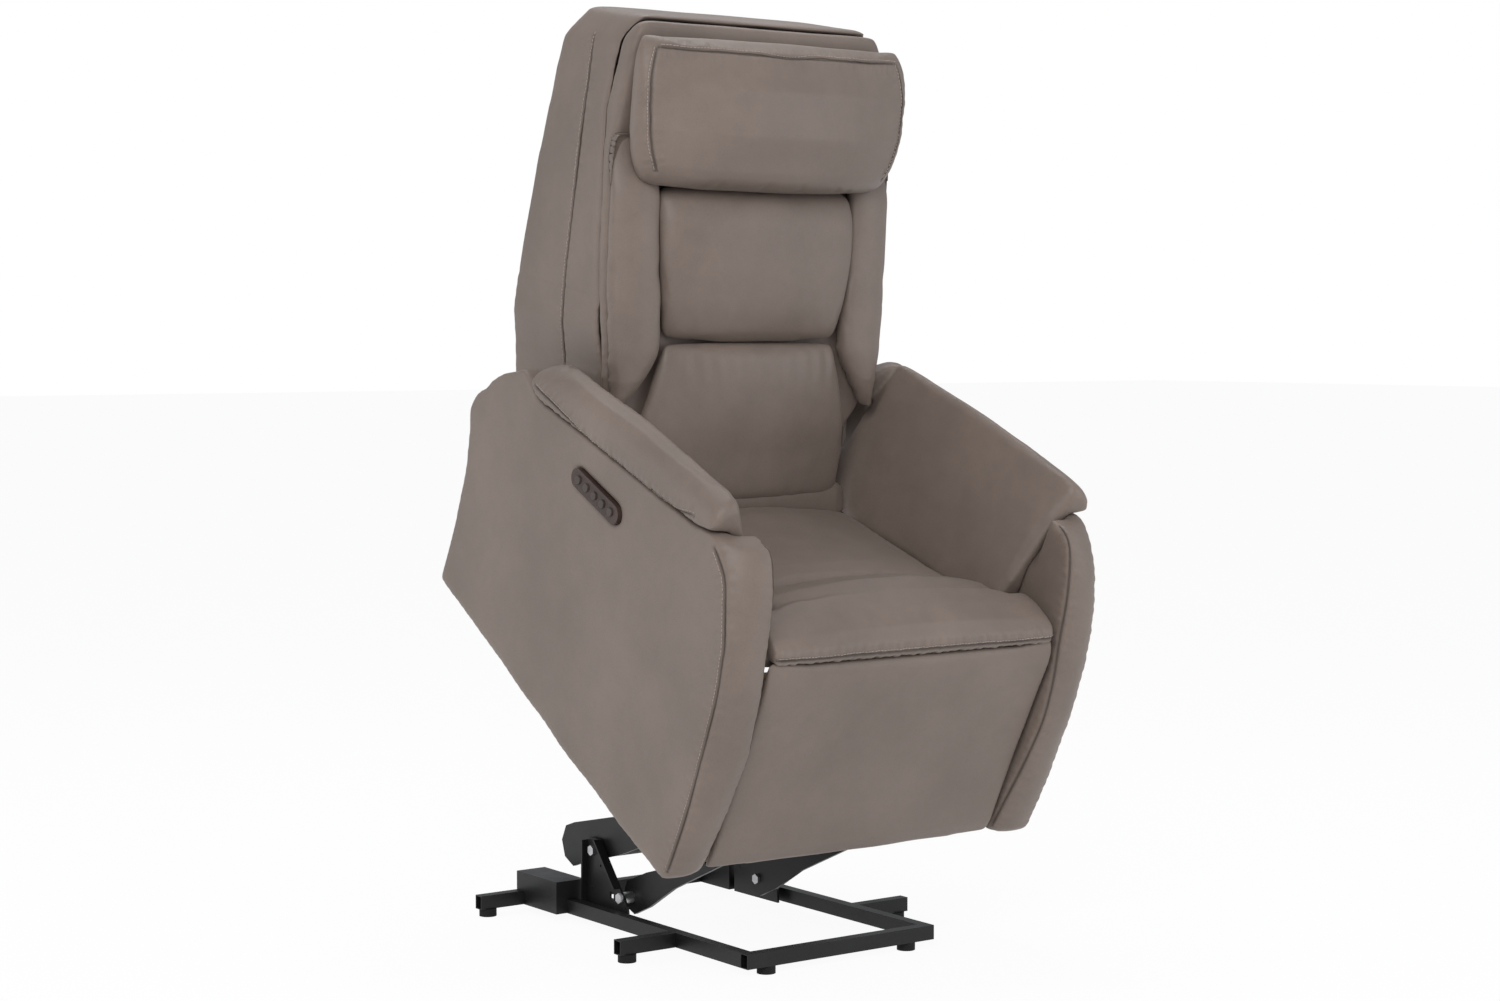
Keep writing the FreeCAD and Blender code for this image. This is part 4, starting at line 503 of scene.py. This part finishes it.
def sewn(name, lines, depth, pucker, seed):
    """Presses the seams into a piece, with small puckers beside them."""
    mesh = soft_pieces[name]["obj"].data
    tree = surface_tree(mesh)
    points, runs = [], []
    for line in lines:
        laid, _ = on_surface(tree, smooth_line(line))
        points.append(laid)
        runs.append(np.arange(len(laid)) * SEAM_STEP)
    points = np.vstack(points)
    runs = np.concatenate(runs)
    finder = KDTree(len(points))
    for i, p in enumerate(points):
        finder.insert(Vector(p), i)
    finder.balance()
    co, out = vertices(mesh), normals(mesh)
    far = np.empty(len(co))
    run = np.empty(len(co))
    for i, p in enumerate(co):
        _, k, gap = finder.find(Vector(p))
        far[i], run[i] = gap, runs[k]
    groove = np.exp(-(far / GROOVE_WIDTH) ** 2)
    phase = np.random.default_rng(seed).uniform(0, 6.28, 3)
    beat = (
        np.sin(run * 2 * math.pi / PUCKER_WAVE + phase[0])
        + 0.7 * np.sin(run * 2 * math.pi / (PUCKER_WAVE * 1.7) + phase[1])
        + 0.6 * np.sin(run * 2 * math.pi / (PUCKER_WAVE * 3.1) + phase[2])
    )
    side = np.exp(-((far - 0.011) / 0.009) ** 2)
    move_to(mesh, co - out * (depth * groove - pucker * side * beat)[:, None])
    # How much the leather is darkened along the seam, as painted shade.
    seam_shade_weight = np.exp(-(far / (GROOVE_WIDTH * 0.62)) ** 2)
    dark = mesh.attributes.new("seam", "FLOAT", "POINT")
    dark.data.foreach_set("value", seam_shade_weight.astype(np.float32))


def capsule(sides):
    rings = [(-0.5, 0.35), (-0.36, 0.85), (0, 1.0), (0.36, 0.85), (0.5, 0.35)]
    points = []
    for along, wide in rings:
        for k in range(sides):
            a = 2 * math.pi * k / sides
            points.append((along, wide * math.cos(a), wide * math.sin(a)))
    return np.array(points), ring_faces(len(rings), sides)


def stitched(name, lines, body, offset=0.005):
    """A row of stitches beside each seam, laid on the finished piece."""
    tree = surface_tree(soft_pieces[name]["obj"].data)
    shape, faces = capsule(STITCH_SIDES)
    points, polygons = [], []
    for line in lines:
        laid, out = on_surface(tree, smooth_line(line))
        along = np.gradient(laid, axis=0)
        along /= np.maximum(np.linalg.norm(along, axis=1)[:, None], 1e-9)
        beside = np.cross(out, along)
        laid, out = on_surface(tree, laid + beside * offset)
        steps = np.linalg.norm(np.diff(laid, axis=0), axis=1)
        run = np.concatenate(([0], np.cumsum(steps)))
        for s in np.arange(STITCH_PITCH / 2, run[-1], STITCH_PITCH):
            i = min(int(np.searchsorted(run, s)), len(laid) - 1)
            x = along[i]
            z = out[i] - x * (out[i] @ x)
            z /= max(np.linalg.norm(z), 1e-9)
            y = np.cross(z, x)
            base = len(points)
            middle = laid[i] + z * STITCH_RADIUS * 0.35
            for p in shape:
                across = y * p[1] * STITCH_RADIUS + z * p[2] * STITCH_RADIUS
                points.append(middle + x * p[0] * STITCH_LENGTH + across)
            polygons.extend([tuple(base + k for k in f) for f in faces])
    mesh = bpy.data.meshes.new(name + "_stitching")
    mesh.from_pydata([tuple(p) for p in points], [], polygons)
    mesh.shade_smooth()
    obj = linked(name + "_stitching", mesh)
    mesh.materials.append(thread)
    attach(obj, body)


def seam_lines(name, lines, body):
    """The dark line at the bottom of each seam, as a thin sunk cord."""
    tree = surface_tree(soft_pieces[name]["obj"].data)
    for number, line in enumerate(lines, 1):
        path, out = on_surface(tree, smooth_line(line, CORD_STEP))
        cord(f"{name}_seam_{number}", path - out * CORD_SINK, body)


def cord(name, path, body):
    """A round cord along a line, thinner at its ends."""
    along = np.gradient(path, axis=0)
    along /= np.maximum(np.linalg.norm(along, axis=1)[:, None], 1e-9)
    points = []
    up = np.array((0.0, 0.0, 1.0))
    for i, p in enumerate(path):
        x = along[i]
        y = np.cross(up, x)
        if np.linalg.norm(y) < 1e-3:
            y = np.array((1.0, 0.0, 0.0))
        y /= np.linalg.norm(y)
        z = np.cross(x, y)
        end = min(i, len(path) - 1 - i)
        wide = CORD_RADIUS * min(1.0, 0.35 + 0.25 * end)
        for k in range(CORD_SIDES):
            a = 2 * math.pi * k / CORD_SIDES
            points.append(p + y * wide * math.cos(a) + z * wide * math.sin(a))
    mesh = bpy.data.meshes.new(name)
    mesh.from_pydata([tuple(p) for p in points], [], ring_faces(len(path), CORD_SIDES))
    mesh.shade_smooth()
    obj = linked(name, mesh)
    mesh.materials.append(hollow)
    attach(obj, body)


# ---------------------------------------------------------------- the soft pieces
PANELS = (("left", -1), ("right", 1))
SEAT = (SEAT_ORIGIN, SEAT_TILT)
BACK = (BACK_ORIGIN, BACK_TILT)
for word, side in PANELS:
    begin(f"{word}_side_cover", f"{word}_side_panel", "chassis", 0.006, 0.0, 7, 0, 0.5)
    begin(f"{word}_arm_cover", f"{word}_arm_pad", "chassis", 0.005, 0.0003, 9, 3.0, 0.75)
begin("seat_cover", "seat_cushion", "chassis", 0.006, -0.001, 16, 4.0, 0.7, None, SEAT)
begin("front_roll_cover", "front_seat_roll", "chassis", 0.005, -0.001, 16, 4.0, 0.8, None, SEAT)
begin("footrest_cover", "footrest_pad", "ottoman", 0.005, -0.0005, 10, 4.0, 0.6, None, SEAT)
begin("lumbar_cover", "lumbar_cushion", "backrest", 0.005, -0.0015, 80, 4.0, 0.75, None, BACK)
begin("shoulder_cover", "shoulder_cushion", "backrest", 0.005, -0.0015, 80, 4.0, 0.8, None, BACK)
begin("bolster_cover", "side_bolsters", "backrest", 0.005, -0.002, 14, 3.0, 0.7, None, BACK)
begin("core_cover", "back_core", "backrest", 0.006, 0.0, 14, 0, 0.5, cover_back, BACK)
begin("shell_cover", "back_shell", "backrest", 0.006, 0.0, 16, 0, 0.4, cover_back, BACK)
begin("headrest_cover", "headrest_pillow", "headrest", 0.005, 0.0, 110, 5.0, 0.85, None, BACK)

# How far the cloth may move a point, and how far a point may stand out of the CAD solid.
CAPS = {"headrest_cover": 0.006, "seat_cover": 0.004}
PROUD = {
    "seat_cover": 0.001, "headrest_cover": 0.006, "lumbar_cover": 0.006, "shoulder_cover": 0.006,
    "bolster_cover": 0.004,
}
simulate()
for name, piece in soft_pieces.items():
    kept_in(piece, CAPS.get(name, 0.003), PROUD.get(name, 0.0006))
    finer(piece["obj"])


# ---------------------------------------------------------------- fitted one by one
def reshaped(name, place, change):
    mesh = soft_pieces[name]["obj"].data
    co = local(vertices(mesh), *place)
    change(co)
    move_to(mesh, placed(co, *place))


def widened(levels, was, wide):
    """Takes the lower sides of the back out to the width that the photo shows above the arms."""
    def change(co):
        old = np.interp(co[:, 2], levels, was)
        new = np.interp(co[:, 2], levels, wide)
        share = np.clip(np.abs(co[:, 0]) / old, 0, 1.05)
        co[:, 0] += np.sign(co[:, 0]) * np.maximum(new - old, 0) * share ** 3
    return change


def smooth_step(value, low, high):
    t = np.clip((value - low) / (high - low), 0, 1)
    return t * t * (3 - 2 * t)


def folds(co, middle, tall, length, height, seed):
    """Small upright folds under a sewn crease, deepest near its ends."""
    run = co[:, 0] * 2 * math.pi / length + 1.1 * np.sin(co[:, 0] * 23 + seed)
    run += 3 * (co[:, 2] - middle)
    near = np.exp(-((co[:, 2] - middle) / tall) ** 2)
    ends = 0.35 + 0.65 * smooth_step(np.abs(co[:, 0]), 0.05, 0.15)
    co[:, 1] -= height * near * ends * np.sin(run)


def lower_lumbar(co):
    near = 1 - smooth_step(co[:, 2], 0.0, 0.085)
    co[:, 2] -= 0.022 * near
    co[:, 1] -= 0.004 * near * (co[:, 1] < -0.08)
    co[:, 2] += 0.005 * smooth_step(co[:, 2], 0.22, 0.262)
    co[:, 0] *= 1 + 0.026 * smooth_step(co[:, 2], 0.15, 0.24)
    folds(co, 0.232, 0.03, 0.031, 0.0011, 0.4)


def taller_shoulder(co):
    co[:, 2] += 0.046 * smooth_step(co[:, 2], 0.40, 0.47)
    top = smooth_step(co[:, 2], 0.47, 0.515)
    co[:, 2] += 0.012 * top
    co[:, 1] += 0.010 * top * (co[:, 1] < -0.05)
    co[:, 2] -= 0.004 * (1 - smooth_step(co[:, 2], 0.268, 0.31))
    co[:, 0] *= 1.026
    folds(co, 0.31, 0.02, 0.037, 0.0008, 2.0)


def longer_bolsters(co):
    co[:, 2] += 0.10 * smooth_step(co[:, 2], 0.43, 0.50)
    front = co[:, 1] < -0.045
    co[:, 1] += 0.018 * front * smooth_step(co[:, 2], 0.50, 0.58)
    inner = 1 - smooth_step(np.abs(co[:, 0]), 0.20, 0.24)
    co[:, 0] -= np.sign(co[:, 0]) * 0.005 * inner


def deeper_lip(co):
    near = 1 - smooth_step(co[:, 1], -0.03, 0.02)
    ends = smooth_step(np.abs(co[:, 0]), 0.20, 0.28)
    co[:, 2] -= (0.0095 + 0.003 * ends) * near * (1 - smooth_step(co[:, 2], 0.440, 0.470))


def taller_footrest(co):
    ends = smooth_step(np.abs(co[:, 0]), 0.20, 0.28)
    high = co[:, 2].max()
    co[:, 2] += (0.0015 + 0.0065 * ends) * smooth_step(co[:, 2], high - 0.05, high - 0.012)


LEVELS = [0.06, 0.15, 0.20, 0.27, 0.33]
WIDENED = {
    "shell_cover": ([0.225, 0.235, 0.247, 0.270, 0.291], [0.268, 0.279, 0.284, 0.289, 0.291]),
    "core_cover": ([0.211, 0.226, 0.239, 0.266, 0.284], [0.222, 0.270, 0.279, 0.284, 0.287]),
    "bolster_cover": ([0.20, 0.231, 0.247, 0.274, 0.293], [0.22, 0.274, 0.283, 0.289, 0.293]),
}
for name, (was, wide) in WIDENED.items():
    reshaped(name, BACK, widened(LEVELS, was, wide))
reshaped("bolster_cover", BACK, longer_bolsters)
reshaped("lumbar_cover", BACK, lower_lumbar)
reshaped("shoulder_cover", BACK, taller_shoulder)
reshaped("front_roll_cover", SEAT, deeper_lip)
reshaped("footrest_cover", SEAT, taller_footrest)

# ---------------------------------------------------------------- seams
OUTER_FRONT = [
    (0.040, 0.595), (0.020, 0.584), (-0.0015, 0.571), (-0.015, 0.549), (-0.036, 0.505),
    (-0.050, 0.476), (-0.059, 0.437), (-0.068, 0.397), (-0.077, 0.286), (-0.082, 0.188), (-0.081, 0.076),
]
INNER_FRONT = [
    (0.022, 0.622), (0.003, 0.616), (-0.016, 0.601), (-0.0295, 0.580), (-0.039, 0.554), (-0.048, 0.530),
    (-0.058, 0.493), (-0.066, 0.453), (-0.0965, 0.3055), (-0.071, 0.072),
]
WELT = [(0.595, 0.578), (0.475, 0.581), (0.327, 0.582), (0.208, 0.595), (0.098, 0.618)]
for word, side in PANELS:
    outer = seat(at_x(side * 0.379, OUTER_FRONT))
    inner = seat(at_x(side * 0.298, INNER_FRONT))
    sewn(f"{word}_side_cover", [outer, inner], 0.0016, 0.0004, seed=3)
    welt = seat(at_x(side * 0.377, WELT))
    sewn(f"{word}_arm_cover", [welt], 0.002, 0.0006, seed=5)
    seam_lines(f"{word}_side_cover", [outer, inner], "chassis")
    seam_lines(f"{word}_arm_cover", [welt], "chassis")
    stitched(f"{word}_side_cover", [outer], "chassis", 0.005 * side)
    stitched(f"{word}_arm_cover", [welt], "chassis")

SHELL_SEAM = [(0.081, 0.195), (0.085, 0.338), (0.082, 0.470), (0.093, 0.702), (0.100, 0.764)]
shell_lines = [back(at_x(s * 0.28, SHELL_SEAM)) for s in (-1, 1)]
sewn("shell_cover", shell_lines, 0.0016, 0.0004, seed=7)
seam_lines("shell_cover", shell_lines, "backrest")
stitched("shell_cover", shell_lines, "backrest")

HEAD_SIDE = [
    (-0.243, -0.105, 0.545), (-0.262, -0.115, 0.60), (-0.266, -0.112, 0.66), (-0.262, -0.10, 0.71),
    (-0.250, -0.085, 0.748),
]
HEAD_TOP = [
    (-0.246, -0.085, 0.752), (-0.15, -0.105, 0.757), (0.0, -0.115, 0.759), (0.15, -0.105, 0.757),
    (0.246, -0.085, 0.752),
]
head_lines = [back(HEAD_SIDE), back([(-x, y, z) for x, y, z in HEAD_SIDE]), back(HEAD_TOP)]
sewn("headrest_cover", head_lines, 0.0018, 0.0003, seed=9)
seam_lines("headrest_cover", head_lines, "headrest")
stitched("headrest_cover", head_lines, "headrest")

FRONT_SEAM = [
    (-0.286, -0.070, 0.452), (-0.15, -0.075, 0.452), (0.0, -0.0765, 0.452), (0.15, -0.075, 0.452),
    (0.286, -0.070, 0.452),
]
front_lines = [seat(FRONT_SEAM)]
sewn("front_roll_cover", front_lines, 0.002, 0.0007, seed=13)
seam_lines("front_roll_cover", front_lines, "chassis")
stitched("front_roll_cover", front_lines, "chassis")


# ---------------------------------------------------------------- the tucked cover between back and seat
def strip(name, rings, levels, skin):
    """A closed, rounded strip across the seat, through rings of points in the seat's frame."""
    sides = len(rings[0])
    faces = []
    for i in range(len(rings) - 1):
        for k in range(sides):
            n = (k + 1) % sides
            faces.append((i * sides + k, (i + 1) * sides + k, (i + 1) * sides + n, i * sides + n))
    faces.append(tuple(range(sides)))
    faces.append(tuple((len(rings) - 1) * sides + k for k in reversed(range(sides))))
    mesh = bpy.data.meshes.new(name)
    mesh.from_pydata([tuple(p) for p in seat([p for ring in rings for p in ring])], [], faces)
    obj = linked(name, mesh)
    change = obj.modifiers.new("round", "SUBSURF")
    change.levels = change.render_levels = levels
    applied(obj)
    obj.data.attributes.new("seam", "FLOAT", "POINT")
    obj.data.shade_smooth()
    obj.data.materials.clear()
    obj.data.materials.append(skin)
    return obj


GUSSET = [
    (0.468, 0.448), (0.459, 0.434), (0.453, 0.416), (0.449, 0.398), (0.447, 0.382), (0.484, 0.384),
    (0.492, 0.430),
]
GUSSET_HALF, GUSSET_MIDDLE, GUSSET_BOW = 0.236, (0.474, 0.416), 0.016


def gusset_ring(x):
    """The gusset's section at x, smaller at its ends and bowed back there."""
    bow = (x / GUSSET_HALF) ** 2
    ending = 1 - 0.45 * max(0.0, (abs(x) - 0.215) / 0.021)
    middle_y, middle_z = GUSSET_MIDDLE
    return [(
        x,
        middle_y + (y - middle_y) * ending + GUSSET_BOW * bow * min(1.0, (z - 0.38) / 0.06),
        middle_z + (z - middle_z) * ending - 0.005 * bow,
    ) for y, z in GUSSET]


across = np.linspace(-GUSSET_HALF, GUSSET_HALF, 61)
gusset = strip("seat_back_gusset", [gusset_ring(x) for x in across], 2, cover)
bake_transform(gusset)

# ---------------------------------------------------------------- the strip behind the seat's front lip
APRON = [(-0.047, 0.456), (-0.0475, 0.440), (-0.0465, 0.424), (-0.036, 0.424), (-0.034, 0.456)]
APRON_HALF = 0.287
across = np.linspace(-APRON_HALF, APRON_HALF, 47)
apron = strip("lip_apron", [at_x(x, APRON) for x in across], 1, cover_back)
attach(apron, "chassis")

# ---------------------------------------------------------------- finishing each piece
for name, piece in soft_pieces.items():
    obj = piece["obj"]
    mesh = obj.data
    co, out = vertices(mesh), normals(mesh)
    move_to(mesh, co + out * (0.0007 * ripple(co, 0.07, 11) - 0.0007)[:, None])
    if mesh.attributes.get("seam") is None:
        mesh.attributes.new("seam", "FLOAT", "POINT")
    mesh.shade_smooth()
    mesh.materials.clear()
    mesh.materials.append(piece["skin"])
    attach(obj, piece["body"])
    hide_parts(piece["cad"])

# ---------------------------------------------------------------- CAD nodes that stay
record_slots = {}
for entry in frame["record"].get("materials", []):
    for member in entry.get("nodes", []):
        record_slots[member] = entry["slot"]
hidden = {piece["cad"] for piece in soft_pieces.values()}
for name, obj in frame["nodes"].items():
    if name in hidden:
        continue
    finish = FINISHES.get(record_slots.get(name, ""))
    for place in obj.material_slots:
        word = place.material.name.split(".")[0] if place.material else ""
        place.material = FINISHES.get(word) or finish or FINISHES["frame_black"]


# ---------------------------------------------------------------- floor and light
def either(tree, a, b):
    made = node(tree, "ShaderNodeMath", operation="MAXIMUM")
    tree.links.new(a, made.inputs[0])
    tree.links.new(b, made.inputs[1])
    return made.outputs[0]


def mixed_shader(tree, share, first, second, output):
    both = tree.nodes.new("ShaderNodeMixShader")
    tree.links.new(share, both.inputs["Fac"])
    tree.links.new(first.outputs[0], both.inputs[1])
    tree.links.new(second.outputs[0], both.inputs[2])
    ending = tree.nodes.new(output)
    tree.links.new(both.outputs[0], ending.inputs["Surface"])


FLOOR_REACH = 40
floor_mesh = bpy.data.meshes.new("floor")
corners = [(x * FLOOR_REACH, y * FLOOR_REACH, 0) for x, y in ((-1, -1), (1, -1), (1, 1), (-1, 1))]
floor_mesh.from_pydata(corners, [], [(0, 1, 2, 3)])
floor = linked("floor", floor_mesh)
paper = bpy.data.materials.new("paper")
paper.use_nodes = True
tree = paper.node_tree
tree.nodes.clear()
rays = tree.nodes.new("ShaderNodeLightPath").outputs
seen = either(tree, either(tree, rays["Is Camera Ray"], rays["Is Glossy Ray"]), rays["Is Transmission Ray"])
share = node(tree, "ShaderNodeMath", operation="MULTIPLY")
share.inputs[1].default_value = 0.94
tree.links.new(seen, share.inputs[0])
matt = node(tree, "ShaderNodeBsdfDiffuse", Color=(0.93, 0.93, 0.93, 1))
glow = node(tree, "ShaderNodeEmission", Color=(1, 1, 1, 1), Strength=1.0)
mixed_shader(tree, share.outputs[0], matt, glow, "ShaderNodeOutputMaterial")
floor_mesh.materials.append(paper)

world = bpy.data.worlds.new("studio")
scene.world = world
world.use_nodes = True
tree = world.node_tree
tree.nodes.clear()
rays = tree.nodes.new("ShaderNodeLightPath").outputs
seen = either(tree, rays["Is Camera Ray"], rays["Is Transmission Ray"])
soft = node(tree, "ShaderNodeBackground", Color=(0.95, 0.97, 1.0, 1), Strength=0.44)
plain = node(tree, "ShaderNodeBackground", Color=(1, 1, 1, 1), Strength=1.0)
mixed_shader(tree, seen, soft, plain, "ShaderNodeOutputWorld")


def lamp(name, where, aim, size, power, colour=(1, 1, 1)):
    data = bpy.data.lights.new(name, "AREA")
    data.shape = "SQUARE"
    data.size = size
    data.energy = power
    data.color = colour
    obj = bpy.data.objects.new(name, data)
    scene.collection.objects.link(obj)
    obj.location = where
    obj.rotation_euler = (Vector(aim) - Vector(where)).to_track_quat("-Z", "Y").to_euler()


CENTRE = (0, 0.1, 0.8)
lamp("key", (-2.9, -3.0, 3.1), CENTRE, 2.4, 104, (1.0, 0.985, 0.97))
lamp("fill", (2.6, -3.2, 1.9), CENTRE, 3.0, 46, (0.97, 0.985, 1.0))
lamp("crown", (0.3, 0.9, 3.9), CENTRE, 2.2, 44)
lamp("rim", (-3.2, 1.9, 1.6), CENTRE, 2.0, 22)
